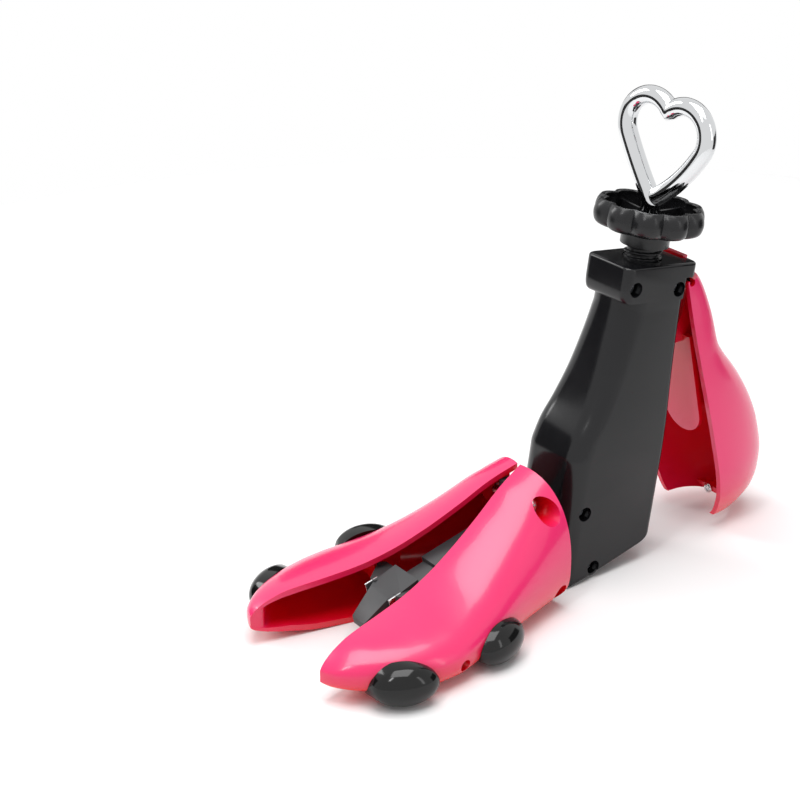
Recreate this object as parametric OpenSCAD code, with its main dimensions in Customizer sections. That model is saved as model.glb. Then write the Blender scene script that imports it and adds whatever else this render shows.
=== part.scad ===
// Two-way shoe stretcher: a leaning handle body, a split toe that a wedge spreads,
// a heel shell that a knob swings out, and a bent rod handle with a heart loop.
// Origin on the floor in the middle of the body's foot, toe along -Y, heel along +Y.
// The pieces stand as in use: toe spread, heel swung out.

/* [Body] */
// Backward lean of the body, degrees
lean = 8.4; // [6:0.2:11]
// Height of the body along its lean
body_h = 137.2; // [130:0.2:150]
// Half width of the lower body
body_hw = 17; // [16:0.2:20]
// Depth of the lower body in front of the handle rod
body_front = 35; // [32:0.5:40]
// Depth of the neck in front of the handle rod
neck_front = 17.5; // [16.5:0.25:20]
// Depth of the body behind the handle rod
body_back = 15; // [14.5:0.25:18]
// Wall of the body
body_wall = 2.4; // [1.8:0.1:3]
// Height of the square block on top of the neck
block_h = 15.2; // [14:0.2:18]
// Half width of the block
block_hw = 13.2; // [13:0.1:15]
// Depth of the block in front of the handle rod
block_front = 19.5; // [19:0.25:22]
// How far the block stands out over the heel shell
overhang = 5; // [4.5:0.1:6]
// Radius of the recesses over the body's screws
recess_r = 3.15; // [2.8:0.05:3.4]
// Half width of the foot that the body stands on
foot_hw = 9; // [7:0.5:12]
// Length of the foot
foot_l = 36; // [30:1:38]

/* [Handle] */
// Diameter of the handle rod
rod_d = 7.8; // [7:0.1:8.4]
// Radius of the heart's two lobes, to the middle of the rod
lobe_r = 11.6; // [10.8:0.2:12.4]
// Distance of each lobe's centre from the rod's axis
lobe_x = 8.9; // [8.4:0.1:9.9]
// Height of the lobes' centres over the foot of the heart
lobe_z = 29; // [26:0.25:32]
// Radius of the bow of the left leg
bow_left = 190; // [90:10:300]
// Radius of the bow of the right leg
bow_right = 64; // [50:2:120]
// Tilt of the heart to the right, degrees
heart_tilt = 3.3; // [0:0.1:5]
// Turn of the heart about the rod, degrees
heart_turn = 6; // [0:1:30]

/* [Length drive] */
// Outer radius of the big thread
sleeve_r = 7.85; // [7.4:0.05:8]
// Depth of the big thread
thread_deep = 1.1; // [0.8:0.1:1.4]
// Rise of the big thread in one turn
thread_pitch = 2.5; // [2:0.25:3]
// Radius of the knob over its lobes
knob_r = 23.2; // [21:0.2:26]
// Height of the knob's lobed rim
knob_h = 11.2; // [10:0.2:14]
// Number of lobes
knob_lobes = 10; // [8:2:12]
// Depth of the valleys between the lobes
knob_valley = 2.8; // [1.5:0.1:3]
// Wall of the knob
knob_wall = 2.2; // [1.6:0.1:2.6]
// Turn of the knob about the rod, degrees
knob_turn = -10; // [-18:0.5:18]
// Gap between the top block and the knob's collar
knob_gap = 5.5; // [5:0.1:9]
// Travel of the pusher from heel shut to the stance shown
push_travel = 15; // [15:1:15]

/* [Heel] */
// Swing of the heel shell from shut to the stance shown, degrees
heel_open = 19.7; // [19.7:0.1:19.7]
// Length of the heel shell down its rim
heel_l = 117.8; // [112:0.2:120]
// Greatest depth of the heel shell
heel_deep = 39.2; // [36:0.2:42]
// Greatest half width of the heel shell
heel_hw = 21.9; // [20.5:0.1:24]
// Wall of the heel shell
heel_wall = 2.4; // [2:0.1:3]
// Radius of the heel's pin
pin_r = 1.5; // [1.3:0.1:1.7]

/* [Toe] */
// Spread of each toe shell from shut to the stance shown, degrees
toe_open = 11.3; // [11.3:0.1:11.3]
// Length of a toe shell from its turning line
toe_l = 121.5; // [118:0.5:128]
// Greatest half width of the toe
toe_hw = 34.4; // [33.4:0.2:37.2]
// Height of the toe shells at the rear
toe_h = 57.3; // [56:0.25:62]
// Wall of the toe shells
toe_wall = 2.6; // [2.2:0.1:3]
// Length of a relief pad
pad_l = 27; // [22:0.5:29]
// Height of a relief pad
pad_w = 17.2; // [14:0.2:17.6]
// How far a relief pad stands out
pad_t = 8; // [5:0.25:9]
// Radius of the holes for relief pads
plug_r = 2.5; // [2:0.1:2.8]

/* [Width drive] */
// Slope of the arm down to the toe, degrees
arm_slope = 13; // [13:0.5:13]
// Half width of the arm
arm_hw = 5.5; // [5.2:0.1:5.6]
// Half height of the arm
arm_hh = 6.5; // [6.2:0.1:6.6]
// Radius of the lead screw
lead_r = 2; // [1.8:0.1:2.1]
// Travel of the wedge from toe shut to the stance shown
wedge_travel = 14; // [14:1:14]

/* [Hidden] */
$fn = 48;
// Clearances: a running fit, two pieces that move past each other, and a cut's overshoot
fit = 0.06;
play = 0.3;
cut = 1;

// Colours
pink = "#f4386b";
black = "#202020";
chrome = "#d8dade";
steel = "#a9adb3";
brass = "#c9a24b";

// Heights along the lean, and depths from the front, of the body's own frame
stem_y = 26.5;
rear_y = stem_y + body_back;
front_y = stem_y - body_front;
block_y = stem_y - block_front;
block_z = body_h - block_h;
block_corner = 4;
block_rear = 1.5;
top_wall = 3;
overhang_t = 6.2;
shoulder_z = 57;
foot_y = -8;
neck_z = block_z - 4;
rod_r = rod_d / 2;

// The threaded drive on the rod's axis, measured down from the body's top
nut_h = 4.5;
nut_r = 10.2;
collar_r = 10.1;
shank_r = 6.5;
hub_in = 7.1;
rib_t = 1.4;
collar_z = body_h + knob_gap;
collar_h = 6.3;
rim_z = collar_z + collar_h;
knob_top = rim_z + knob_h;
sleeve_in = 24.7;
sleeve_bottom = body_h - sleeve_in;
washer_t = 1.5;
pusher_top = sleeve_bottom - washer_t;
pusher_h = 8;
pusher_hw = 9;
nose_r = 2;
nose_y = rear_y + 4.5;
nose_z = pusher_top - 4.7;
nose_hw = 5;
rod_run = rod_r + play + 0.1;

// The heart stands on the rod over the knob's cup
heart_z = knob_top + 1.2;
weld_low = 1.9;

// Heel pin, and where it lies in the heel shell's own frame
pin_y = rear_y + 3;
pin_z = body_h - 8.7;
pin_p = 2.25;
pin_q = 2.61;
knuckle_r = 3;
knuckle_hw = 6.2;
lug_in = 6.9;
lug_out = 9.6;
heel_top = 1.6;
window_hw = 7;
window_top = 12.7;
window_low = 39.7;

// The gears meet where the rod's axis and the lead screw's axis cross
gear_z = 45.4;
joint_y = stem_y * cos(lean) + gear_z * sin(lean);
joint_z = gear_z * cos(lean) - stem_y * sin(lean);
gear_teeth = 12;
gear_pitch_r = 10;
gear_angle = (90 + arm_slope + lean) / 2;
gear_far = gear_pitch_r / tan(gear_angle);
gear_near = gear_far - 2.3;
hub_r = 6;
hub_top = 76;
bush_low = 58;
bush_h = 6;
bush_r = 8.5;
rod_hex = 3.2;
clip_t = 1.6;
groove = 0.6;
clip_z = pusher_top - pusher_h - clip_t - 0.6;
gear_clip_z = bush_low + bush_h + 0.5;

// The arm, in lengths along the lead screw from the crossing point
root_start = 13;
root_end = 29;
slot_start = 84;
arm_step = 96;
arm_end = 110.5;
tip_hw = 4.7;
tip_top = 4.5;
slot_hw = 3.4;
slot_top = 3.2;
lead_end = arm_end - 1;
screw_bush_r = 4;

// The wedge
cap_start = arm_end - 3;
cap_hw = 7.5;
cap_top = 8.5;
cap_low = 8.5;
ridge_t = cap_start + 14.2;
nose_end = ridge_t + 12;
wing_y = -74.5;
wing_x = 18.1;
wing_in = 6.4;
wing_low = 12;
wing_h = 10;

// Toe: turning line, rim planes and the screws' pockets
apex_y = -14;
toe_rim = 0.3;
toe_rear = 2.8;
pocket_u = 9.2;
pocket_z = 44.2;
pocket_r = 5.2;
low_u = 7.4;
low_z = 8;
low_r = 4.2;
plate_in = 4.5;
plate_out = 6.5;
screw_y = apex_y - 7.9;
low_screw_y = apex_y - 6.3;
// A screw keeps its place while its shell swings, so its pocket is a little further on than its hole
pocket_shift = 0.5;
head_x = 13.4;
low_head_x = 8.7;
head_r = 3.2;
low_head_r = 2.4;
lug_hw = 3.5;
hole_r = 2.7;
low_hole_r = 2.6;
hole_u = 76 / 121.5 * toe_l;

// Smooth curve through a list of [place, value] pairs, level past both ends
function step_of(t, k, i = 0) = i >= len(k) - 2 || t <= k[i + 1][0] ? i : step_of(t, k, i + 1);
function rise(k, i) = (k[i + 1][1] - k[i][1]) / (k[i + 1][0] - k[i][0]);
function slope_at(k, i) =
    i == 0 ? rise(k, 0)
    : i == len(k) - 1 ? rise(k, i - 1)
    : rise(k, i - 1) * rise(k, i) <= 0 ? 0
    : 2 * rise(k, i - 1) * rise(k, i) / (rise(k, i - 1) + rise(k, i));
function ease(a, b, ma, mb, h, s) =
    a * (2 * s * s * s - 3 * s * s + 1) + b * (3 * s * s - 2 * s * s * s)
    + h * ma * (s * s * s - 2 * s * s + s) + h * mb * (s * s * s - s * s);
function curve(t, k) =
    t <= k[0][0] ? k[0][1]
    : t >= k[len(k) - 1][0] ? k[len(k) - 1][1]
    : let (i = step_of(t, k), h = k[i + 1][0] - k[i][0])
        ease(k[i][1], k[i + 1][1], slope_at(k, i), slope_at(k, i + 1), h, (t - k[i][0]) / h);
function power(x, e) = x <= 0 ? 0 : pow(x, e);
function turned(p, a) = [p[0] * cos(a) - p[1] * sin(a), p[0] * sin(a) + p[1] * cos(a)];

// Frames of the leaning body, the lead screw, the heel shell and the left toe shell
module leaning() {
    rotate([-lean, 0, 0]) children();
}
module on_rod() {
    leaning() translate([0, stem_y, 0]) children();
}
module along_screw() {
    translate([0, joint_y, joint_z]) rotate([90 + arm_slope, 0, 0]) children();
}
module on_heel() {
    leaning() translate([0, pin_y, pin_z]) rotate([heel_open, 0, 0]) translate([0, -pin_p, pin_q]) children();
}
module on_toe() {
    translate([0, apex_y, 0]) rotate([0, 0, toe_open]) children();
}
module right_side() {
    mirror([1, 0, 0]) children();
}
module across(y, z, x = 0) {
    translate([x, y, z]) rotate([0, 90, 0]) children();
}

// Solid through rings of equally many points, the rings running anticlockwise about the way up
module loft(rings) {
    n = len(rings[0]);
    m = len(rings);
    polyhedron(
        points = [for (r = rings) each r],
        faces = concat(
            [[for (i = [0:n - 1]) i]],
            [[for (i = [n - 1:-1:0]) (m - 1) * n + i]],
            [for (k = [0:m - 2], i = [0:n - 1]) each let (
                a = k * n + i, b = k * n + (i + 1) % n, c = a + n, d = b + n)
                [[a, c, b], [b, c, d]]]
        )
    );
}

// Open shell: an outer and an inner path at each station, joined along both edges and both ends
module shell(outer, inner) {
    n = len(outer[0]);
    m = len(outer);
    w = 2 * n;
    polyhedron(
        points = [for (k = [0:m - 1]) each concat(outer[k], inner[k])],
        faces = concat(
            [for (k = [0:m - 2], i = [0:n - 2]) each let (a = k * w + i)
                [[a, a + w, a + 1], [a + 1, a + w, a + w + 1]]],
            [for (k = [0:m - 2], i = [0:n - 2]) each let (a = k * w + n + i)
                [[a, a + 1, a + w], [a + 1, a + w + 1, a + w]]],
            [for (k = [0:m - 2]) each let (a = k * w, b = a + n)
                [[a, b, a + w], [b, b + w, a + w]]],
            [for (k = [0:m - 2]) each let (a = k * w + n - 1, b = a + n)
                [[a, a + w, b], [b, a + w, b + w]]],
            [for (i = [0:n - 2]) each [[i, i + 1, i + n], [i + 1, i + 1 + n, i + n]]],
            [for (i = [0:n - 2]) each let (a = (m - 1) * w + i)
                [[a, a + n, a + 1], [a + 1, a + n, a + 1 + n]]]
        )
    );
}

// Body: its front line, half width and corner radius along the lean
function along_neck(z) = (z - shoulder_z) / (neck_z - shoulder_z);
function body_front_at(z) = stem_y - neck_front - (body_front - neck_front) * curve(along_neck(z),
    [[0, 1], [0.14, 0.86], [0.31, 0.58], [0.49, 0.375], [0.7, 0.2], [0.88, 0.07], [1, 0]]);
function body_hw_at(z) = block_hw + (body_hw - block_hw) * curve(along_neck(z),
    [[0, 1], [0.2, 0.86], [0.49, 0.47], [0.74, 0.2], [1, 0]]);
function body_corner_at(z) = curve(along_neck(z), [[0, 8.5], [0.3, 8.8], [0.6, 10.5], [1, block_hw - 1.4]]);
function half_section(w, yf, yr, rf, rr) = concat(
    [[0, yf]],
    [for (a = [-90:15:0]) [w - rf + rf * cos(a), yf + rf + rf * sin(a)]],
    [for (a = [0:30:90]) [w - rr + rr * cos(a), yr - rr + rr * sin(a)]],
    [[0, yr]]
);
module body_half_solid(inset, top) {
    zs = concat([-14], [for (t = [-0.02:0.085:1]) shoulder_z + t * (neck_z - shoulder_z)], [top]);
    rear_corner = 3;
    loft([for (z = zs) [for (p = half_section(
        body_hw_at(z) - inset, body_front_at(z) + inset, rear_y - inset,
        body_corner_at(z) - inset, rear_corner - inset * 0.6)) [p[0], p[1], z]]]);
}

// Space under the body: a gentle rise from the front edge and a round rear corner
function bend(a, b, c, n) = [for (i = [0:n]) let (s = i / n)
    a * (1 - s) * (1 - s) + b * 2 * s * (1 - s) + c * s * s];
module underside(inset) {
    low_front = [front_y * cos(lean), 0];
    rear_face = [rear_y * cos(lean) + 24 * sin(lean), 24 * cos(lean) - rear_y * sin(lean)];
    side = 40;
    path = concat([low_front, [7.4, 2.6], [26.4, 6.7]],
        bend([36.5, 9], [43.4, 10.5], rear_face, 5));
    translate([-side, 0, inset]) rotate([90, 0, 90]) linear_extrude(2 * side)
        polygon(concat([[-80, -40], [-80, 0]], path, [[80, rear_face[1]], [80, -40]]));
}

// Body screws: [depth from the front, height], the third one holds the arm's root
body_screw_at = [
    [block_y + 5.8, body_h - 9.2],
    [rear_y - 4.1, body_h - 10.9],
    [stem_y - 25.8, 33.3],
    [stem_y - 16.1, 7.5]
];
arm_screw = 2;
screw_shank_r = 1.3;
screw_head_r = 2.7;
recess_deep = 5;
head_t = 2;
post_r = 2.5;
module at_screw(i) {
    leaning() across(body_screw_at[i][0], body_screw_at[i][1]) children();
}
function screw_side(i) = body_hw_at(body_screw_at[i][1]);

// Top block: its front's lower edge rolls in to the neck
module block_half() {
    roll = [[0, 1], [0.8, 0.58], [2.2, 0.26], [3.9, 0.08], [5.6, 0]];
    deep = block_front - neck_front;
    loft([for (k = concat(roll, [[block_h, 0]]))
        [for (p = half_section(block_hw, block_y + deep * k[1], rear_y, block_corner, block_rear))
            [p[0], p[1], block_z + k[0]]]]);
}

module body_half(left) {
    difference() {
        union() {
            difference() {
                union() {
                    leaning() body_half_solid(0, block_z + 2);
                    leaning() block_half();
                    leaning() translate([0, 0, body_h - overhang_t]) linear_extrude(overhang_t)
                        polygon(half_section(block_hw, rear_y - 8, rear_y + overhang, 3, 3));
                }
                underside(0);
                difference() {
                    leaning() body_half_solid(body_wall, body_h - top_wall);
                    underside(body_wall);
                }
            }
            intersection() {
                leaning() body_half_solid(body_wall / 2, body_h - top_wall / 2);
                union() {
                    leaning() translate([0, stem_y - 14, bush_low + 1]) cube([body_hw, 40, 3.5]);
                    for (i = [0, 1, 3]) at_screw(i) cylinder(h = body_hw, r = post_r);
                    for (i = [0, 1, 2, 3])
                        if (left) at_screw(i) translate([0, 0, screw_side(i) - recess_deep - 1.2])
                            cylinder(h = recess_deep, r = recess_r + 1);
                }
            }
            leaning() hull() {
                across(pin_y, pin_z, lug_in) cylinder(h = lug_out - lug_in, r = knuckle_r, $fn = 32);
                translate([lug_in, rear_y - 1, pin_z - knuckle_r]) cube([lug_out - lug_in, 2, 6]);
            }
            rotate([90, 0, 90]) linear_extrude(foot_hw) polygon([[foot_y, 0], [foot_y + foot_l, 0],
                [foot_y + foot_l, 1.1 + 0.22 * foot_l], [7.4, 3.8], [foot_y, 1.5]]);
        }
        on_rod() translate([0, 0, block_z]) cylinder(h = 2 * block_h, r = sleeve_r + play);
        on_rod() translate([0, 0, body_h - top_wall - nut_h - fit]) cylinder(h = nut_h + fit, r = nut_r);
        on_rod() translate([0, 0, bush_low - cut]) cylinder(h = bush_h + 2 * cut, r = bush_r - 1);
        on_rod() translate([0, 0, bush_low - 2]) cylinder(h = 3, r = bush_r + 1);
        leaning() translate([-cut, rear_y - body_wall - 2, pin_z + 9 - window_low])
            cube([window_hw + cut, body_wall + 4, window_low - window_top]);
        leaning() translate([-cut, rear_y + 1.1, body_h - overhang_t - cut])
            cube([knuckle_hw + play + 0.1 + cut, overhang + 2, overhang_t + 2 * cut]);
        leaning() across(pin_y, pin_z, lug_in - cut) cylinder(h = 5, r = pin_r);
        along_screw() translate([-cut, -arm_hh - fit, root_end - 6])
            cube([arm_hw + fit + cut, 2 * (arm_hh + fit), 20]);
        for (i = [0:3]) {
            if (left) {
                at_screw(i) translate([0, 0, screw_side(i) - recess_deep]) cylinder(h = 20, r = recess_r);
            }
            if (left || i != arm_screw) at_screw(i) translate([0, 0, -cut])
                cylinder(h = left ? 30 : 9, r = screw_shank_r);
        }
    }
}
module body_shell_left() { color(black) body_half(true); }
module body_shell_right() { color(black) right_side() body_half(false); }

module body_screws() {
    color(steel) for (i = [0:3]) {
        seat = screw_side(i) - recess_deep;
        tail = i == arm_screw ? lead_r + 1.5 : -7.5;
        at_screw(i) difference() {
            union() {
                translate([0, 0, tail]) cylinder(h = seat - tail + 0.2, r = screw_shank_r);
                translate([0, 0, seat]) cylinder(h = head_t, r = screw_head_r);
            }
            for (a = [0, 90]) rotate([0, 0, a]) translate([-1.7, -0.35, seat + 1]) cube([3.4, 0.7, 2]);
        }
    }
}

module sleeve_nut() {
    color(brass) on_rod() translate([0, 0, body_h - top_wall - nut_h]) difference() {
        cylinder(h = nut_h, r = nut_r);
        translate([0, 0, -cut]) cylinder(h = nut_h + 2 * cut, r = sleeve_r + fit);
    }
}

module stem_bush() {
    color(black) on_rod() translate([0, 0, bush_low]) difference() {
        union() {
            cylinder(h = bush_h, r = bush_r - 1);
            translate([0, 0, -1]) cylinder(h = 2, r = bush_r);
        }
        translate([0, 0, -2 * cut]) cylinder(h = bush_h + 3 * cut, r = hub_r + fit);
    }
}

module toe_arm() {
    color(black) difference() {
        union() {
            along_screw() translate([-arm_hw, -arm_hh, root_end - 1])
                cube([2 * arm_hw, 2 * arm_hh, arm_step - root_end + 1]);
            along_screw() translate([-tip_hw, -arm_hh, arm_step - 1])
                cube([2 * tip_hw, arm_hh + tip_top, arm_end - arm_step + 1]);
            along_screw() translate([0, 0, root_start]) cylinder(h = root_end - root_start, r = 7);
            leaning() translate([-8.2, front_y + body_wall + 0.05, 22]) cube([16.4, 4, 27]);
            rotate([90, 0, 90]) translate([0, 0, -lug_hw]) linear_extrude(2 * lug_hw)
                polygon([[-24, 5], [-24, 50], [-16, 50], [-6.4, 36], [-8.6, 8], [-12, 5]]);
        }
        along_screw() translate([0, 0, root_start - cut]) cylinder(h = 100, r = lead_r + 0.6);
        along_screw() translate([0, 0, root_start - cut]) cylinder(h = 9, r = screw_bush_r);
        along_screw() translate([-slot_hw, -arm_hh - cut, slot_start])
            cube([2 * slot_hw, arm_hh + cut + slot_top, arm_end - slot_start + cut]);
        for (x = [-1, 1]) {
            across(screw_y, pocket_z, x > 0 ? 0.5 : -6.5) cylinder(h = 6, r = screw_shank_r);
            across(low_screw_y, low_z, x > 0 ? 0.5 : -6.5) cylinder(h = 6, r = screw_shank_r);
        }
        at_screw(arm_screw) translate([0, 0, lead_r + 1.4]) cylinder(h = 9, r = screw_shank_r);
    }
}

module screw_bush() {
    color(brass) along_screw() translate([0, 0, root_start]) difference() {
        cylinder(h = 8, r = screw_bush_r);
        translate([0, 0, -cut]) cylinder(h = 10, r = lead_r + fit);
    }
}

module heel_pin() {
    color(steel) leaning() across(pin_y, pin_z, -lug_out) cylinder(h = 2 * lug_out, r = pin_r);
}

// Screws that the toe shells rock on, one pair high and one pair low
module toe_screw(y, z, head, r) {
    across(y, z, 0.5) cylinder(h = head, r = screw_shank_r);
    across(y, z, head) difference() {
        cylinder(h = 2.2, r = r);
        for (a = [0, 90]) rotate([0, 0, a]) translate([-r * 0.6, -0.4, 1.2]) cube([r * 1.2, 0.8, 2]);
    }
}
module toe_screws_upper() {
    color(chrome) {
        toe_screw(screw_y, pocket_z, head_x, head_r);
        right_side() toe_screw(screw_y, pocket_z, head_x, head_r);
    }
}
module toe_screws_lower() {
    color(chrome) {
        toe_screw(low_screw_y, low_z, low_head_x, low_head_r);
        right_side() toe_screw(low_screw_y, low_z, low_head_x, low_head_r);
    }
}

// Toe springs: one unbroken wire each, between the pocket's floor and the screw's head
spring_r = 2.9;
wire_r = 0.3;
curls = 4;
curl_rings = 8;
wire_sides = 6;
spring_x0 = 8.9;
spring_x1 = head_x - wire_r;
function spring_point(k) = let (a = 360 * k / curl_rings)
    [spring_x0 + (spring_x1 - spring_x0) * k / (curls * curl_rings), spring_r * cos(a), spring_r * sin(a)];
spring_gap = min([for (i = [0:curls * curl_rings], j = [0:curls * curl_rings])
    if (j >= i + curl_rings / 2) norm(spring_point(i) - spring_point(j)) - 2 * wire_r]);
echo(least_gap_of_spring = spring_gap);
module toe_spring() {
    n = curls * curl_rings;
    translate([0, screw_y, pocket_z]) polyhedron(
        points = [for (k = [0:n], s = [0:wire_sides - 1]) let (
            c = spring_point(k), a = 360 * k / curl_rings, b = 360 * s / wire_sides,
            r = spring_r + wire_r * cos(b))
            [c[0] - wire_r * sin(b), r * cos(a), r * sin(a)]],
        faces = concat(
            [for (s = [1:wire_sides - 2]) [0, s, s + 1]],
            [for (s = [1:wire_sides - 2]) [n * wire_sides, n * wire_sides + s + 1, n * wire_sides + s]],
            [for (k = [0:n - 1], s = [0:wire_sides - 1]) each let (
                a = k * wire_sides + s, b = k * wire_sides + (s + 1) % wire_sides)
                [[a, a + wire_sides, b], [b, a + wire_sides, b + wire_sides]]]
        )
    );
}
module toe_spring_left() { color(steel) toe_spring(); }
module toe_spring_right() { color(steel) right_side() toe_spring(); }

// Handle: straight shank with a six-sided foot, and the heart loop
// A leg is an arc through the heart's foot that runs on into its lobe's circle
function bow_centre(bow) = let (
    reach = norm([lobe_x, lobe_z]),
    along = (reach * reach - lobe_r * lobe_r + 2 * bow * lobe_r) / (2 * reach),
    off = sqrt(bow * bow - along * along))
    [(lobe_x * along - lobe_z * off) / reach, (lobe_z * along + lobe_x * off) / reach];
module rod_arc(centre, radius, from, to) {
    translate([centre[0], 0, centre[1]]) rotate([90, 0, 0]) rotate([0, 0, from])
        rotate_extrude(angle = to - from) translate([radius, 0]) circle(r = rod_r);
}
module heart_half(bow) {
    centre = bow_centre(bow);
    foot = atan2(-centre[1], -centre[0]);
    join = atan2(lobe_z - centre[1], lobe_x - centre[0]);
    notch = 180 - acos(lobe_x / lobe_r);
    below = 2 * rod_r / bow * 180 / PI;
    intersection() {
        union() {
            rod_arc(centre, bow, foot - below, join + 0.3);
            rod_arc([lobe_x, lobe_z], lobe_r, join, notch + 15);
        }
        translate([0, -10, -weld_low]) cube([60, 20, 100]);
    }
}
module heart_handle() {
    shank_low = gear_z + gear_near + 0.5;
    color(chrome) on_rod() difference() {
        union() {
            translate([0, 0, hub_top + 4]) cylinder(h = heart_z - 1 - hub_top - 4, r = rod_r);
            translate([0, 0, shank_low]) cylinder(h = hub_top + 5 - shank_low, r = rod_hex, $fn = 6);
            translate([0, 0, heart_z]) rotate([0, heart_tilt, heart_turn]) {
                heart_half(bow_right);
                mirror([1, 0, 0]) heart_half(bow_left);
            }
        }
        translate([0, 0, clip_z]) difference() {
            cylinder(h = clip_t, r = rod_r + cut);
            translate([0, 0, -cut]) cylinder(h = clip_t + 2 * cut, r = rod_r - groove);
        }
    }
}

// Split ring that sits in a groove
module clip_ring(shaft, reach, mouth) {
    difference() {
        cylinder(h = clip_t, r = shaft + reach);
        translate([0, 0, -cut]) cylinder(h = clip_t + 2 * cut, r = shaft - groove);
        translate([-mouth / 2, 0, -cut]) cube([mouth, 2 * shaft, clip_t + 2 * cut]);
    }
}
module rod_clip() {
    color(steel) on_rod() translate([0, 0, clip_z]) clip_ring(rod_r, 2.2, 3);
}

// Bevel gears of equal size
module bevel_teeth(offset) {
    root = 8.7 / gear_pitch_r;
    tip = 10.9 / gear_pitch_r;
    near_r = gear_pitch_r * gear_near / gear_far;
    part = 360 / gear_teeth;
    linear_extrude(gear_far - gear_near, scale = gear_far / gear_near)
        polygon([for (i = [0:gear_teeth - 1]) each [
            for (q = [[-7, root], [-3.6, tip], [3.6, tip], [7, root]])
                near_r * q[1] * [cos(offset + i * part + q[0]), sin(offset + i * part + q[0])]]]);
}
module stem_gear() {
    color(brass) on_rod() difference() {
        union() {
            translate([0, 0, gear_z + gear_near]) bevel_teeth(0);
            translate([0, 0, gear_z + gear_far - 0.5]) cylinder(h = 3.5, r = 7.5);
            translate([0, 0, gear_z + gear_far]) cylinder(h = hub_top - gear_z - gear_far, r = hub_r);
        }
        translate([0, 0, gear_z + gear_near - cut]) cylinder(h = 40, r = rod_hex + 0.35, $fn = 6);
        translate([0, 0, gear_clip_z]) difference() {
            cylinder(h = clip_t, r = hub_r + cut);
            translate([0, 0, -cut]) cylinder(h = clip_t + 2 * cut, r = hub_r - groove);
        }
    }
}
module gear_clip() {
    color(steel) on_rod() translate([0, 0, gear_clip_z]) clip_ring(hub_r, 2, 4.8);
}

// Knob: an open lobed cup on a collar, with a hub and ribs inside
knob_sides = knob_lobes * 9;
function lobe_at(a, r, deep) = r - deep * power(1 - abs(sin(a * knob_lobes / 2 + 90)), 1.2);
function knob_ring(r, deep, z) = [for (i = [0:knob_sides - 1]) let (a = 360 * i / knob_sides,
    q = lobe_at(a, r, deep)) [q * cos(a), q * sin(a), z]];
module knob_cup() {
    n = knob_sides;
    round_out = [[0, 16.5, 1], [0.06, 20, 1.7], [0.2, 22.3, 2.2], [0.5, 23.2, 2.4], [0.8, 22.5, 2.3],
        [1, 21.2, 2.1]];
    function ring(k, w) = knob_ring(k[1] / 23.2 * knob_r - w, k[2] / 2.4 * knob_valley,
        rim_z + k[0] * knob_h);
    outer = [for (k = round_out) ring(k, 0)];
    round_in = [[1, 21.2, 2.1], [0.75, 22.3, 2.2], [0.3, 22, 2.2], [0.18, 20, 1.7]];
    inner = [for (k = round_in) ring(k, knob_wall)];
    hub = knob_ring(collar_r - 2, 0, rim_z + 0.15 * knob_h);
    loft(concat(outer, inner, [hub]));
}
module length_knob() {
    color(black) on_rod() rotate([0, 0, knob_turn]) difference() {
        union() {
            knob_cup();
            translate([0, 0, collar_z]) cylinder(h = rim_z - collar_z + 1, r = collar_r);
            translate([0, 0, rim_z]) cylinder(h = 5, r = collar_r - 1);
            for (i = [1:2:knob_lobes - 1]) rotate([0, 0, i * 360 / knob_lobes])
                translate([hub_in, -rib_t / 2, rim_z + 2])
                    cube([knob_r - knob_wall - 0.1 - hub_in, rib_t, 5]);
        }
        translate([0, 0, collar_z - cut]) cylinder(h = 40, r = shank_r + 0.03);
    }
}

module threaded_sleeve() {
    core = sleeve_r - thread_deep;
    turns = floor((collar_z - sleeve_bottom - 1) / thread_pitch);
    low = collar_z - turns * thread_pitch;
    flat = thread_pitch * 0.22;
    color(black) on_rod() difference() {
        union() {
            rotate_extrude() polygon(concat(
                [[5, sleeve_bottom], [sleeve_r - 0.5, sleeve_bottom], [sleeve_r - 0.5, low - 0.3]],
                [for (i = [0:turns - 1]) each let (z = low + i * thread_pitch) [
                    [sleeve_r, z], [sleeve_r, z + flat],
                    [core, z + thread_pitch * 0.45], [core, z + thread_pitch * 0.75]]],
                [[sleeve_r - 0.5, collar_z], [5, collar_z]]));
            translate([0, 0, collar_z - 0.5]) cylinder(h = rim_z + 5.5 - collar_z, r = shank_r);
        }
        translate([0, 0, sleeve_bottom - cut]) cylinder(h = 60, r = rod_run);
    }
}

module thrust_washer() {
    color(steel) on_rod() translate([0, 0, pusher_top + 0.02]) difference() {
        cylinder(h = washer_t - 0.1, r = sleeve_r);
        translate([0, 0, -cut]) cylinder(h = 4, r = rod_run);
    }
}

module pusher() {
    front = 9.1;
    rear = 6.3;
    color(steel) on_rod() difference() {
        union() {
            translate([-pusher_hw, -front, pusher_top - pusher_h])
                cube([2 * pusher_hw, front + rear, pusher_h]);
            translate([-nose_hw, 0, nose_z - nose_r]) cube([2 * nose_hw, nose_y - stem_y, 2 * nose_r]);
            across(nose_y - stem_y, nose_z, -nose_hw) cylinder(h = 2 * nose_hw, r = nose_r);
        }
        translate([0, 0, pusher_top - pusher_h - cut]) cylinder(h = pusher_h + 2 * cut, r = rod_run);
    }
}

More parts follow.
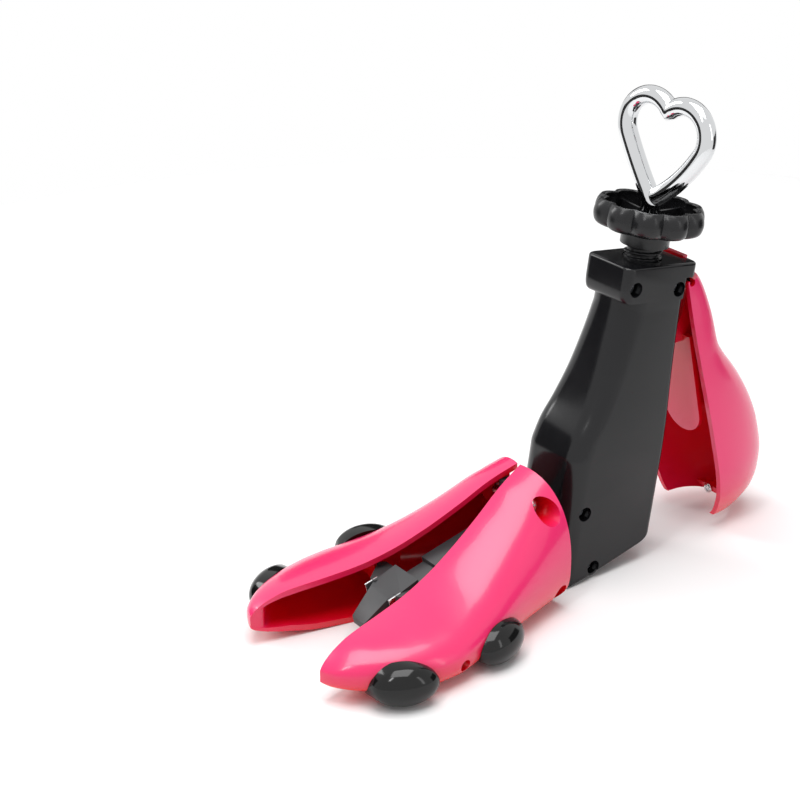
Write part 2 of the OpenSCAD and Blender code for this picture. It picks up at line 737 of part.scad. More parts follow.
// Heel shell: depth, half width and squareness down its rim, and a floor that slants to lie level
heel_scale = heel_l / 117.8;
floor_slant = tan(heel_open - lean);
function heel_d(q) = heel_deep / 39.2 * curve(q / heel_scale, [[1, 8], [4, 9.8], [12, 12.6], [23, 15.2],
    [37, 17.2], [45, 20.8], [52.6, 25.4], [60, 29.6], [68, 33.2], [76, 36], [85, 38.2], [97, 39.2], [105, 37],
    [110.5, 33.6], [114.5, 27.5], [117, 22], [117.8, 19]]);
function heel_w(q) = block_hw + (heel_hw - block_hw) * curve(q / heel_scale, [[0, 0], [20, 0.15], [39, 0.38],
    [60, 0.67], [80, 0.9], [95, 1], [105, 0.9], [110.5, 0.72], [114.5, 0.53], [117, 0.34], [117.8, 0.25]]);
function heel_n(q) = curve(q, [[0, 4.2], [20, 3.6], [45, 2.7], [65, 2.3], [100, 2.2]]);
function heel_f(q) = curve(q / heel_scale, [[85, 0], [98, 0.3], [105, 0.6], [110.5, 0.8], [114.5, 0.9],
    [117, 1]]);
function heel_path(q, inset) = [for (i = [0:18]) let (
    a = i * 10, n = heel_n(q), x = (heel_w(q) - inset) * sign(cos(a)) * power(abs(cos(a)), 2 / n),
    p = (heel_d(q) - inset) * power(sin(a), 2 / n))
    [abs(cos(a)) < 0.01 ? 0 : x, p, -q - heel_f(q) * floor_slant * p]];
heel_stations = [for (q = [heel_top, 5, 10, 16, 23, 30, 37, 45, 52.6, 60, 68, 76, 85, 92, 98, 105, 110.5,
    114.5, 117, 117.8]) q == heel_top ? q : q * heel_scale];
module heel_cup() {
    rows = [for (i = [len(heel_stations) - 1:-1:0]) heel_stations[i]];
    shell([for (q = rows) heel_path(q, 0)], [for (q = rows) heel_path(q, heel_wall)]);
}
// The rib's face follows the pusher's nose: the nose's path as the swinging heel sees it
function nose_seen(t) = turned([nose_y - pin_y, nose_z + push_travel - t - pin_z],
    -heel_open * t / push_travel);
function rib_face(t) = let (a = nose_seen(t), b = nose_seen(t + 0.5), d = (b - a) / norm(b - a))
    a + (nose_r + 0.25) * [-d[1], d[0]];
module heel_rib() {
    face = [for (t = [0:2:18]) rib_face(t)];
    low = rib_face(18.5);
    rotate([90, 0, 90]) translate([0, 0, -nose_hw]) linear_extrude(2 * nose_hw)
        polygon(concat(
            [[pin_p - 2, -pin_q], [pin_p + 2, -pin_q - 2]],
            [for (p = face) p + [pin_p, -pin_q]],
            [low + [pin_p, -pin_q], low + [pin_p + 1, -pin_q - 3]],
            [for (q = [36, 28, 20, 12, heel_top + 1]) [heel_d(q) - heel_wall / 2, -q]]));
}
module heel_shell() {
    color(pink) on_heel() difference() {
        union() {
            heel_cup();
            translate([0, 0, -heel_top - 2.2]) linear_extrude(2.1)
                polygon([for (p = heel_path(heel_top + 1, 0.6)) [p[0], p[1]]]);
            translate([0, pin_p, -pin_q]) across(0, 0, -knuckle_hw)
                cylinder(h = 2 * knuckle_hw, r = knuckle_r);
            heel_rib();
            translate([-1.2, 0, 0]) rotate([90, 0, 90]) linear_extrude(2.4)
                polygon(concat([[2.5, -33], [2.5, -72]],
                    [for (q = [72, 60, 52, 45, 40, 33]) [heel_d(q) - heel_wall / 2, -q]]));
            translate([0, 3.5, 0]) rotate([90, 0, 0]) linear_extrude(2) {
                polygon([[-9, -30], [9, -30], [10.5, -69], [-10.5, -69]]);
                translate([0, -69]) circle(r = 10.5);
            }
            intersection() {
                translate([-20, 0, -heel_l - 10]) cube([40, 26, 20]);
                heel_floor();
            }
            translate([0, pin_p, -pin_q]) rotate([-heel_open, 0, 0])
                translate([-knuckle_hw + 0.2, -0.5, 0]) cube([2 * knuckle_hw - 0.4, 2.5, body_h + 1 - pin_z]);
        }
        translate([0, pin_p, -pin_q]) across(0, 0, -20) cylinder(h = 40, r = pin_r + fit);
        for (x = [-lug_out - 0.5, lug_in - 0.5]) translate([x, -cut, -7])
            cube([lug_out - lug_in + 1, pin_p + knuckle_r + 2, 6.5]);
    }
}
// Level strip that closes the heel's underside behind a wide notch
module heel_floor() {
    strip = [for (i = [0:12]) let (a = i * 15) [15.6 * cos(a), 20.8 * sin(a)]];
    translate([0, 0, -heel_l]) rotate([lean - heel_open, 0, 0]) difference() {
        linear_extrude(heel_wall) polygon(strip);
        translate([-20, -10, -cut]) cube([40, 25.5, 5]);
    }
}
module heel_screw() {
    color(chrome) on_heel() translate([-3, 0, -heel_l]) rotate([lean - heel_open, 0, 0])
        translate([0, 15.5, heel_wall / 2]) rotate([90, 0, 0]) difference() {
            translate([0, 0, 0.02]) cylinder(h = 1.8, r = 2.3);
            for (a = [0, 90]) rotate([0, 0, a]) translate([-1.4, -0.3, 1.1]) cube([2.8, 0.6, 2]);
        }
}

// Width drive
module lead_screw() {
    color(steel) along_screw() translate([0, 0, gear_near]) cylinder(h = lead_end - gear_near, r = lead_r);
}
module screw_gear() {
    color(brass) along_screw() difference() {
        union() {
            translate([0, 0, gear_near]) bevel_teeth(180 / gear_teeth);
            translate([0, 0, gear_far - 0.5]) cylinder(h = 5, r = 6);
        }
        translate([0, 0, gear_near - cut]) cylinder(h = 20, r = lead_r);
    }
}
module wedge() {
    side = [[cap_start, -cap_low], [cap_start, cap_top], [ridge_t, 7], [nose_end, 0.8], [nose_end, -3],
        [ridge_t + 1.3, -cap_low]];
    plan = [[cap_start, cap_hw], [ridge_t - 3, cap_hw], [ridge_t, 6], [nose_end, 4]];
    color(black) difference() {
        union() {
            along_screw() intersection() {
                rotate([0, -90, 0]) translate([0, 0, -cap_hw - cut]) linear_extrude(2 * (cap_hw + cut))
                    polygon(side);
                rotate([90, 0, 0]) rotate([0, 0, 90]) translate([0, 0, -20]) linear_extrude(40)
                    polygon(concat(plan, [for (i = [len(plan) - 1:-1:0]) [plan[i][0], -plan[i][1]]]));
            }
            for (x = [0, 1]) mirror([x, 0, 0]) translate([0, 0, wing_low]) linear_extrude(wing_h)
                polygon([[wing_in, wing_y + 2.5], [wing_x - 2, wing_y + 2.5], [wing_x, wing_y],
                    [wing_in + 2.8, wing_y - 10.5], [wing_in, wing_y - 10.5]]);
            along_screw() translate([-slot_hw + 0.4, -cap_low, cap_start - 8.5])
                cube([2 * slot_hw - 0.8, cap_low - arm_hh - 0.3, 12]);
        }
        along_screw() translate([-arm_hw - 0.4, -arm_hh - 0.3, cap_start - cut])
            cube([2 * arm_hw + 0.8, 2 * arm_hh + 0.7, arm_step + wedge_travel + 0.6 - cap_start + cut]);
        along_screw() translate([-tip_hw - 0.35, -arm_hh - 0.3, cap_start])
            cube([2 * tip_hw + 0.7, arm_hh + 0.3 + tip_top + 0.35, arm_end + wedge_travel + 0.5 - cap_start]);
        wedge_plate_pair();
    }
}
module wedge_plate_pair() {
    for (x = [-cap_hw - 0.7, cap_hw]) along_screw() translate([x, 1, ridge_t - 5])
        cube([0.7, cap_top - 1.6, 6.2]);
}
module wedge_plates() { color(chrome) wedge_plate_pair(); }
module wedge_nut() {
    color(brass) along_screw() difference() {
        translate([-slot_hw + 0.3, -arm_hh - 0.3, cap_start - 7.5])
            cube([2 * slot_hw - 0.6, arm_hh + slot_top, 6]);
        translate([0, 0, cap_start - 9]) cylinder(h = 10, r = lead_r + fit);
    }
}

// Toe shells: heights, half width and squareness along the toe
toe_scale = toe_l / 121.5;
function toe_top(u) = toe_h / 57.3 * curve(u / toe_scale, [[0, 57.3], [15, 51.3], [30, 42.9], [45, 35.3],
    [60, 29.3], [75, 25.5], [90, 23.6], [105, 22], [112, 20], [117, 17.6], [120, 15.2], [121, 13.6]]);
function toe_bot(u) = curve(u / toe_scale, [[75, 0], [92, 1], [106, 3.5], [114, 5.4], [118, 6.8], [120, 7.8],
    [121, 8.8]]);
function toe_w(u) = toe_hw / 34.4 * curve(u / toe_scale, [[2.8, 28], [34, 30.4], [55, 32.8], [75, 34.4],
    [85, 32.8], [95, 29], [105, 22.5], [112, 17], [116, 12.8], [119, 8.7], [120.3, 5.8], [121, 2.5]]);
function toe_wide(u) = curve(u, [[0, 20], [30, 18], [60, 14], [100, 11], [120, 12]]);
function toe_n(u) = curve(u, [[0, 2.25], [60, 1.9], [100, 2.15], [120, 2.5]]);
toe_low_n = 3.2;
function toe_hollow(u) = curve(u / toe_scale, [[100, 1], [108, 0.72], [113, 0.3], [115.5, 0.02]]);
function toe_point(u, a, inset, k) = let (
    up = a > 0, n = up ? toe_n(u) : toe_low_n,
    h = (up ? toe_top(u) - toe_wide(u) : toe_wide(u) - toe_bot(u)) - inset,
    w = toe_w(u) - toe_rim - inset)
    [toe_rim + k * w * (abs(cos(a)) < 0.01 ? 0 : power(cos(a), 2 / n)), -u,
        toe_wide(u) + h * sign(a) * power(abs(sin(a)), 2 / n)];
toe_angles = [-90, -73, -57, -43, -30, -18, -6, 7, 18, 30, 42, 54, 66, 78, 90];
function toe_ring(u, inset, k) = [for (a = toe_angles) toe_point(u, a, inset, k)];
toe_stations = [for (u = [2.8, 9, 16, 23, 30, 38, 46, 54, 62, 69, 76, 83, 89, 95, 100, 104, 108, 111, 113.5,
    116, 118, 119.4, 120.3, 121]) u == 2.8 ? toe_rear : u * toe_scale];
module toe_cup() {
    function wall_at(u) = toe_wall * curve(u / toe_scale, [[104, 1], [119, 0.5]]);
    shell([for (u = toe_stations) toe_ring(u, 0, 1)],
        [for (u = toe_stations) toe_ring(u, wall_at(u), toe_hollow(u))]);
}
// Solid of a toe shell's outer form, to shape what lies on or in it
module toe_solid(inset) {
    loft([for (u = toe_stations) toe_ring(u, inset, 1)]);
}
// The ramp inside a shell follows the wing of the wedge as the shell sees it
function wing_seen(t) = let (
    x = wing_x, y = wing_y + t * cos(arm_slope) - apex_y, a = toe_open * (1 - t / wedge_travel))
    [x * cos(a) + y * sin(a), y * cos(a) - x * sin(a)];
module toe_ramp() {
    path = [for (t = [0:2:14]) wing_seen(t) + [0.55, 0]];
    first = path[0];
    last = path[len(path) - 1];
    translate([0, 0, 11.5]) linear_extrude(7.5)
        polygon(concat([[toe_hw - 1.4, first[1] - 0.8], [first[0], first[1] - 0.8]], path,
            [[toe_hw - 3.2, last[1]]]));
}
// A relief pad's place on the shell: along the toe, height, turn and tilt
function pad_base(u, z) = let (
    up = z > toe_wide(u), n = up ? toe_n(u) : toe_low_n,
    h = up ? toe_top(u) - toe_wide(u) : toe_wide(u) - toe_bot(u))
    [toe_rim + (toe_w(u) - toe_rim) * power(1 - power(abs(z - toe_wide(u)) / h, n), 1 / n), -u, z];
function plan_turn(u) = atan((toe_w(u + 6) - toe_w(u - 6)) / 12);
front_u = 101 / 121.5 * toe_l;
rear_u = 53.5 / 121.5 * toe_l;
far_u = 56 / 121.5 * toe_l;
pad_z = 9;
far_z = 15;
far_tilt = 8;
module on_pad(u, z, tilt) {
    translate(pad_base(u, z)) rotate([0, 90 - tilt, plan_turn(u)]) children();
}
module plug_hole(u, z = pad_z, tilt = 0) {
    on_pad(u, z, tilt) translate([0, 0, -6]) cylinder(h = 12, r = plug_r);
}
module toe_shell(left) {
    color(pink) on_toe() difference() {
        union() {
            toe_cup();
            intersection() {
                toe_solid(toe_wall / 2);
                union() {
                    translate([plate_in, -pocket_u - pocket_shift, pocket_z]) rotate([0, 90, 0])
                        cylinder(h = 30, r = pocket_r + 1.2);
                    translate([plate_in, -low_u - pocket_shift, low_z]) rotate([0, 90, 0])
                        cylinder(h = 30, r = low_r + 1.2);
                    translate([plate_out, -toe_rear - 2, 0]) cube([30, 2, toe_h]);
                    toe_ramp();
                }
            }
        }
        translate([plate_out, -pocket_u - pocket_shift, pocket_z]) rotate([0, 90, 0])
            cylinder(h = 40, r = pocket_r);
        translate([0, -pocket_u, pocket_z]) rotate([0, 90, 0]) cylinder(h = 20, r = hole_r);
        translate([plate_out, -low_u - pocket_shift, low_z]) rotate([0, 90, 0]) cylinder(h = 40, r = low_r);
        translate([0, -low_u, low_z]) rotate([0, 90, 0]) cylinder(h = 20, r = low_hole_r);
        for (u = [front_u, hole_u]) plug_hole(u);
        if (left) plug_hole(rear_u);
        else plug_hole(far_u, far_z, far_tilt);
    }
}
module toe_shell_left() { toe_shell(true); }
module toe_shell_right() { right_side() toe_shell(false); }

// Relief pad: a back that follows the shell, and a domed front
pad_sides = 24;
pad_back = 3.2;
pad_off = 0.2;
function pad_skin(u, z, tilt, k, a) = let (
    v = u - k * pad_l / 2 * cos(a) * cos(plan_turn(u)), up = k * pad_w / 2 * sin(a) * cos(tilt),
    p = pad_base(v, z + up), least = pad_base(v, z)[0] - pad_back - up * tan(tilt))
    [max(p[0] + pad_off, least), p[1], p[2]];
function pad_dome(u, z, tilt, b, a) = let (
    along = cos(b) * pad_l / 2 * cos(a), up = cos(b) * pad_w / 2 * sin(a), rise = pad_t * sin(b),
    out = rise * cos(tilt) - up * sin(tilt), m = plan_turn(u), c = pad_base(u, z))
    [c[0] + out * cos(m) - along * sin(m), c[1] + out * sin(m) + along * cos(m),
        z + up * cos(tilt) + rise * sin(tilt)];
module relief_pad(u, z = pad_z, tilt = 0) {
    sides = [for (i = [0:pad_sides - 1]) 360 * i / pad_sides];
    color(black) on_toe() {
        loft(concat(
            [for (k = [0.2, 0.4, 0.6, 0.8, 1]) [for (a = sides) pad_skin(u, z, tilt, k, a)]],
            [for (b = [20, 40, 58, 74, 85]) [for (a = sides) pad_dome(u, z, tilt, b, a)]]));
        on_pad(u, z, tilt) translate([0, 0, -3.5]) cylinder(h = 5, r = plug_r - fit);
    }
}
module pad_left_front() { relief_pad(front_u); }
module pad_left_rear() { relief_pad(rear_u); }
module pad_right_front() { right_side() relief_pad(front_u); }
module pad_right_rear() { right_side() relief_pad(far_u, far_z, far_tilt); }

body_shell_left();
body_shell_right();
body_screws();
sleeve_nut();
stem_bush();
toe_arm();
screw_bush();
heel_pin();
toe_screws_upper();
toe_screws_lower();
toe_spring_left();
toe_spring_right();
heart_handle();
rod_clip();
stem_gear();
gear_clip();
length_knob();
threaded_sleeve();
thrust_washer();
pusher();
heel_shell();
heel_screw();
lead_screw();
screw_gear();
wedge();
wedge_plates();
wedge_nut();
toe_shell_left();
toe_shell_right();
pad_left_front();
pad_left_rear();
pad_right_front();
pad_right_rear();
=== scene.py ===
# %% [markdown]
# A two-way shoe stretcher stands on a pale table: a black handle body that leans back, a pink toe
# in two shells that a wedge spreads, a pink heel shell that a knob swings out, and a chromed rod
# bent into a heart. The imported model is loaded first. It is a fixed frame, and everything made here
# is placed by its numbers and rides on its bodies.

from math import acos, atan, atan2, cos, pi, radians, sin, sqrt, tan

import bmesh
import bpy
from mathutils import Matrix, Vector


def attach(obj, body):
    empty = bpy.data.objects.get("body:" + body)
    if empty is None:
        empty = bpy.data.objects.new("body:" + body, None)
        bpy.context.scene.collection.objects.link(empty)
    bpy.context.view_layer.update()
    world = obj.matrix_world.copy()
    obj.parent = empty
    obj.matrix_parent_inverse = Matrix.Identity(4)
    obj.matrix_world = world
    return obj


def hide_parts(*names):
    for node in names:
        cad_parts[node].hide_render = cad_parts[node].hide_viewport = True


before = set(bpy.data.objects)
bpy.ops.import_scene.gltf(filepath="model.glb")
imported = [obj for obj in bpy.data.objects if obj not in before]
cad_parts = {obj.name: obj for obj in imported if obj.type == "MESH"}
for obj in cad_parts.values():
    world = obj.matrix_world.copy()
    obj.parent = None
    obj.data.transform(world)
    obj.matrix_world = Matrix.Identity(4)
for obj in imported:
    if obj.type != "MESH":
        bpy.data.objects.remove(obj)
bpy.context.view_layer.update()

# %% [markdown]
# The camera is worked out before anything else. It was solved from edges in the photograph that are
# level, upright or mirrored, so a direction, a distance and a small sideways offset are enough. The
# offset moves the camera itself, so the lens needs no shift and other views stay true.

# %% Camera
LOOK_AT = Vector((0.0, -0.008, 0.070))
AZIMUTH, ELEVATION, ROLL = radians(53.145), radians(24.922), radians(0.077)
IMAGE_PX, SENSOR_MM = 800, 36
FOCAL_PX, DISTANCE = 1993.74, 0.81034
OFFSET_PX = (136.17, 27.36)


def aim_camera():
    right = Vector((cos(AZIMUTH), sin(AZIMUTH), 0))
    back = Vector((sin(AZIMUTH) * cos(ELEVATION), -cos(AZIMUTH) * cos(ELEVATION), sin(ELEVATION)))
    up = back.cross(right)
    place = (LOOK_AT + back * DISTANCE - right * (OFFSET_PX[0] * DISTANCE / FOCAL_PX)
             + up * (OFFSET_PX[1] * DISTANCE / FOCAL_PX))
    turned = Matrix((right, up, back)).transposed() @ Matrix.Rotation(ROLL, 3, "Z")
    lens = bpy.data.cameras.new("camera")
    lens.sensor_width = SENSOR_MM
    lens.lens = FOCAL_PX / IMAGE_PX * SENSOR_MM
    camera = bpy.data.objects.new("camera", lens)
    camera.matrix_world = Matrix.Translation(place) @ turned.to_4x4()
    bpy.context.collection.objects.link(camera)
    bpy.context.scene.camera = camera
    return camera


camera = aim_camera()
print("camera at", [round(v, 3) for v in camera.matrix_world.translation], "lens", round(camera.data.lens, 1))

# %% [markdown]
# A material is a small machine of nodes: numbers and colours go in on one side, a surface comes out
# on the other. A node group packs such nodes with named inputs and outputs, so that any material can
# hold it. These helpers add a node, set or link its inputs, and make the noises and sums used below.

# %% Node helpers
def new_group(name, inputs, outputs):
    group = bpy.data.node_groups.new(name, "ShaderNodeTree")
    for label, value in inputs:
        socket = group.interface.new_socket(label, in_out="INPUT", socket_type="NodeSocketFloat")
        socket.default_value = value
    for label, kind in outputs:
        group.interface.new_socket(label, in_out="OUTPUT", socket_type=kind)
    return group, group.nodes.new("NodeGroupInput"), group.nodes.new("NodeGroupOutput")


def node(tree, kind, **settings):
    made = tree.nodes.new(kind)
    for key, value in settings.items():
        setattr(made, key, value)
    return made


def feed(tree, made, values):
    for label, given in values.items():
        socket = made.inputs[label]
        if isinstance(given, bpy.types.NodeSocket):
            tree.links.new(given, socket)
        else:
            socket.default_value = (*given, 1) if isinstance(given, tuple) else given
    return made


def noise(tree, vector, scale, detail=2.0, rough=0.5):
    made = node(tree, "ShaderNodeTexNoise")
    feed(tree, made, {"Vector": vector, "Scale": scale, "Detail": detail, "Roughness": rough})
    return made.outputs["Fac"]


def ramp(tree, value, low, high):
    made = node(tree, "ShaderNodeMapRange")
    feed(tree, made, {"Value": value, "From Min": low, "From Max": high})
    return made.outputs["Result"]


def combine(tree, operation, a, b):
    return feed(tree, node(tree, "ShaderNodeMath", operation=operation), {0: a, 1: b}).outputs[0]


print("node helpers: new_group, node, feed, noise, ramp, combine")

# %% [markdown]
# Moulded plastic has a faint ripple from the mould and a fine dust that dulls its gloss in patches.
# One group makes both: it puts out a roughness, a height and the dust itself, and each material
# says how rough, how patchy and how grainy it is.

# %% Shared effect: moulded skin
def moulded_skin_group():
    group, given, result = new_group(
        "moulded_skin",
        [("Roughness", 0.2), ("Patch Roughness", 0.05), ("Ripple Scale", 60.0), ("Grain Scale", 900.0),
         ("Grain Share", 0.2)],
        [("Roughness", "NodeSocketFloat"), ("Height", "NodeSocketFloat"), ("Dust", "NodeSocketFloat")])
    place = node(group, "ShaderNodeTexCoord").outputs["Object"]
    ripple = noise(group, place, given.outputs["Ripple Scale"])
    grain = noise(group, place, given.outputs["Grain Scale"], 3.0)
    patches = noise(group, place, 38.0, 5.0, 0.6)
    dust = ramp(group, patches, 0.45, 0.75)
    more = combine(group, "MULTIPLY", dust, given.outputs["Patch Roughness"])
    fine = combine(group, "MULTIPLY", grain, given.outputs["Grain Share"])
    feed(group, result, {"Roughness": combine(group, "ADD", given.outputs["Roughness"], more),
                         "Height": combine(group, "ADD", ripple, fine), "Dust": dust})
    return group


MOULDED_SKIN = moulded_skin_group()
print("group", MOULDED_SKIN.name, "with", len(MOULDED_SKIN.nodes), "nodes")

# %% [markdown]
# Metal parts show fine marks instead: a bright plating has hairlines from handling, and turned or
# drawn steel has a grain that runs one way. A stretched noise gives both, so this is a second group.

# %% Shared effect: hairlines
def hairline_group():
    group, given, result = new_group(
        "hairlines",
        [("Roughness", 0.1), ("Spread", 0.05), ("Stretch X", 1.0), ("Stretch Y", 1.0), ("Stretch Z", 0.05),
         ("Scale", 1500.0)],
        [("Roughness", "NodeSocketFloat"), ("Height", "NodeSocketFloat")])
    place = node(group, "ShaderNodeTexCoord").outputs["Object"]
    apart = feed(group, node(group, "ShaderNodeSeparateXYZ"), {0: place})
    stretched = node(group, "ShaderNodeCombineXYZ")
    for axis in "XYZ":
        longer = combine(group, "MULTIPLY", apart.outputs[axis], given.outputs["Stretch " + axis])
        feed(group, stretched, {axis: longer})
    lines = noise(group, stretched.outputs[0], given.outputs["Scale"], 3.0, 0.6)
    spread = combine(group, "MULTIPLY", lines, given.outputs["Spread"])
    feed(group, result, {"Roughness": combine(group, "ADD", given.outputs["Roughness"], spread),
                         "Height": lines})
    return group


HAIRLINES = hairline_group()
print("group", HAIRLINES.name, "with", len(HAIRLINES.nodes), "nodes")

# %% [markdown]
# The plastics share one recipe: two close shades mixed by a slow noise, the moulded skin for gloss,
# and a very weak bump, because a strong one makes glossy plastic look like orange peel. The pink also
# gets painted shade: its colour turns a deep red where walls or the floor close in around it.

# %% Plastics
PAINTED_SHADE_REACH = 0.045


def start_material(name):
    material = bpy.data.materials.new(name)
    material.use_nodes = True
    tree = material.node_tree
    tree.nodes.clear()
    shader = node(tree, "ShaderNodeBsdfPrincipled")
    feed(tree, node(tree, "ShaderNodeOutputMaterial"), {"Surface": shader.outputs[0]})
    return material, tree, shader


def mixed(tree, factor, first, second):
    made = node(tree, "ShaderNodeMix", data_type="RGBA")
    return feed(tree, made, {"Factor": factor, "A": first, "B": second}).outputs["Result"]


def bumped(tree, shader, height, strength, distance):
    made = node(tree, "ShaderNodeBump")
    feed(tree, made, {"Height": height, "Strength": strength, "Distance": distance})
    feed(tree, shader, {"Normal": made.outputs[0]})


def moulded_plastic(name, shade, other_shade, dusty_shade, rough, patch, bump=0.1, grain=0.2, coat=0.0,
                    level=0.5, deep=None):
    material, tree, shader = start_material(name)
    skin = node(tree, "ShaderNodeGroup", node_tree=MOULDED_SKIN)
    feed(tree, skin, {"Roughness": rough, "Patch Roughness": patch, "Grain Share": grain})
    place = node(tree, "ShaderNodeTexCoord").outputs["Object"]
    slow = ramp(tree, noise(tree, place, 14.0), 0.3, 0.7)
    plain = mixed(tree, slow, shade, other_shade)
    faint = combine(tree, "MULTIPLY", skin.outputs["Dust"], 0.10)
    colour = mixed(tree, faint, plain, dusty_shade)
    # painted shade: an ambient occlusion node mixes the colour towards the deep red where walls or the floor
    # lie close
    if deep:
        closed = feed(tree, node(tree, "ShaderNodeAmbientOcclusion", samples=12), {"Distance": PAINTED_SHADE_REACH})
        colour = mixed(tree, ramp(tree, closed.outputs["AO"], 0.34, 0.88), deep, colour)
    feed(tree, shader, {"Base Color": colour, "Roughness": skin.outputs["Roughness"], "IOR": 1.5,
                        "Specular IOR Level": level})
    bumped(tree, shader, skin.outputs["Height"], bump, 0.0002)
    if coat:
        feed(tree, shader, {"Coat Weight": coat, "Coat Roughness": 0.06})
    return material


# The pink's deep red is painted shade for its hollows and for its sides near the floor.
PINK = moulded_plastic("pink_plastic", (0.80, 0.018, 0.135), (0.83, 0.021, 0.147), (0.86, 0.06, 0.20),
                       0.25, 0.02, bump=0.012, coat=0.3, deep=(0.74, 0.001, 0.008))
BLACK = moulded_plastic("black_plastic", (0.005, 0.005, 0.006), (0.007, 0.007, 0.008), (0.02, 0.02, 0.022),
                        0.18, 0.08, bump=0.03, level=0.36)
KNOB_BLACK = moulded_plastic("black_knob_plastic", (0.007, 0.007, 0.008), (0.010, 0.010, 0.011),
                             (0.03, 0.03, 0.032), 0.26, 0.10, bump=0.06, level=0.36)
PAD_BLACK = moulded_plastic("black_pad_plastic", (0.004, 0.004, 0.004), (0.006, 0.006, 0.006),
                            (0.02, 0.02, 0.02), 0.10, 0.05, bump=0.02, level=0.34)
INNER_BLACK = moulded_plastic("grey_black_plastic", (0.030, 0.031, 0.033), (0.042, 0.043, 0.045),
                              (0.07, 0.07, 0.072), 0.42, 0.12, bump=0.15, grain=0.5)
print("plastics:", PINK.name, BLACK.name, KNOB_BLACK.name, PAD_BLACK.name, INNER_BLACK.name)

# %% [markdown]
# The handle rod and the screw heads are plated and mirror bright, the hidden pins and springs are
# plain steel, and the gears and nuts are brass. All of them are a metallic Principled shader with
# the hairlines group for roughness.

# %% Metals
def metal(name, shade, other_shade, rough, spread, bump=0.02):
    material, tree, shader = start_material(name)
    lines = node(tree, "ShaderNodeGroup", node_tree=HAIRLINES)
    feed(tree, lines, {"Roughness": rough, "Spread": spread, "Stretch Z": 0.06})
    place = node(tree, "ShaderNodeTexCoord").outputs["Object"]
    slow = noise(tree, place, 120.0)
    feed(tree, shader, {"Base Color": mixed(tree, slow, shade, other_shade), "Metallic": 1.0,
                        "Roughness": lines.outputs["Roughness"]})
    bumped(tree, shader, lines.outputs["Height"], bump, 0.0001)
    return material


CHROME = metal("bright_chrome", (0.64, 0.65, 0.66), (0.68, 0.69, 0.70), 0.03, 0.03, bump=0.004)
PLATED = metal("plated_steel", (0.66, 0.67, 0.68), (0.72, 0.73, 0.74), 0.12, 0.08)
STEEL = metal("plain_steel", (0.42, 0.43, 0.45), (0.50, 0.51, 0.53), 0.26, 0.14, bump=0.05)
BRASS = metal("brass", (0.55, 0.38, 0.14), (0.66, 0.47, 0.19), 0.24, 0.12, bump=0.04)
print("metals:", CHROME.name, PLATED.name, STEEL.name, BRASS.name)

# %% [markdown]
# The plastic shells are lofted: a cross-section is written as a function of the place along the
# piece, and rows of it are joined into a grid. A smooth curve through a short list of measured
# places gives each width and depth. It is monotone between them, so it never bulges past a value.

# %% Curves
def curve(t, keys):
    def rise(i):
        return (keys[i + 1][1] - keys[i][1]) / (keys[i + 1][0] - keys[i][0])

    def slope(i):
        if i in (0, len(keys) - 1):
            return rise(min(i, len(keys) - 2))
        a, b = rise(i - 1), rise(i)
        return 0 if a * b <= 0 else 2 * a * b / (a + b)

    if t <= keys[0][0]:
        return keys[0][1]
    if t >= keys[-1][0]:
        return keys[-1][1]
    i = next(k for k in range(len(keys) - 1) if t <= keys[k + 1][0])
    h = keys[i + 1][0] - keys[i][0]
    s = (t - keys[i][0]) / h
    return (keys[i][1] * (2 * s**3 - 3 * s * s + 1) + keys[i + 1][1] * (3 * s * s - 2 * s**3)
            + h * slope(i) * (s**3 - 2 * s * s + s) + h * slope(i + 1) * (s**3 - s * s))


def power(value, exponent):
    return 0.0 if value <= 1e-9 else value**exponent


def spaced(low, high, count):
    return [low + (high - low) * i / (count - 1) for i in range(count)]


def around(sides):
    return [2 * pi * i / sides for i in range(sides)]


print("curve through 0, 1, 3 at the middle of the second step:", curve(1.5, [(0, 0), (1, 1), (2, 3)]))

# %% [markdown]
# A mesh is a list of points and a list of faces that name their points. Here rings of points, one
# above the other, are joined by four-sided faces and closed at both ends, which gives a solid skin
# without holes. Points are written in millimetres, and a matrix carries them to their place.

# %% Grids of points
MM = 0.001


def new_object(name, points, faces, place=Matrix.Identity(4)):
    mesh = bpy.data.meshes.new(name)
    mesh.from_pydata([(place @ Vector(p)) * MM for p in points], [], faces)
    made = bpy.data.objects.new(name, mesh)
    bpy.context.collection.objects.link(made)
    outward(made)
    return made


def outward(piece):
    work = bmesh.new()
    work.from_mesh(piece.data)
    bmesh.ops.recalc_face_normals(work, faces=work.faces)
    if work.calc_volume(signed=True) < 0:
        bmesh.ops.reverse_faces(work, faces=work.faces)
    work.to_mesh(piece.data)
    work.free()


def loft(name, rings, place=Matrix.Identity(4)):
    n = len(rings[0])
    points = [p for ring in rings for p in ring]
    faces = [(k * n + i, k * n + (i + 1) % n, (k + 1) * n + (i + 1) % n, (k + 1) * n + i)
             for k in range(len(rings) - 1) for i in range(n)]
    faces += [tuple(range(n))[::-1], tuple(range((len(rings) - 1) * n, len(rings) * n))]
    return new_object(name, points, faces, place)


def open_shell(name, outer, inner, place):
    return loft(name, [o + i[::-1] for o, i in zip(outer, inner)], place)


def circle(radius, height, sides):
    return [(radius * cos(a), radius * sin(a), height) for a in around(sides)]


def prism(name, outline, low, high, place=Matrix.Identity(4)):
    return loft(name, [[(x, y, low) for x, y in outline], [(x, y, high) for x, y in outline]], place)


def rod(name, radius, low, high, place=Matrix.Identity(4), sides=64):
    return loft(name, [circle(radius, z, sides) for z in (low, high)], place)


def block(name, low, high, place=Matrix.Identity(4)):
    outline = [(low[0], low[1]), (high[0], low[1]), (high[0], high[1]), (low[0], high[1])]
    return prism(name, outline, low[2], high[2], place)


print("points around a round rod:", len(circle(1, 0, 64)))

# %% [markdown]
# Cuts and joins are made with Boolean modifiers, then a Bevel modifier rounds the sharp edges, as
# every moulded edge is a little round. The result is baked into the mesh, so that no helper stays.

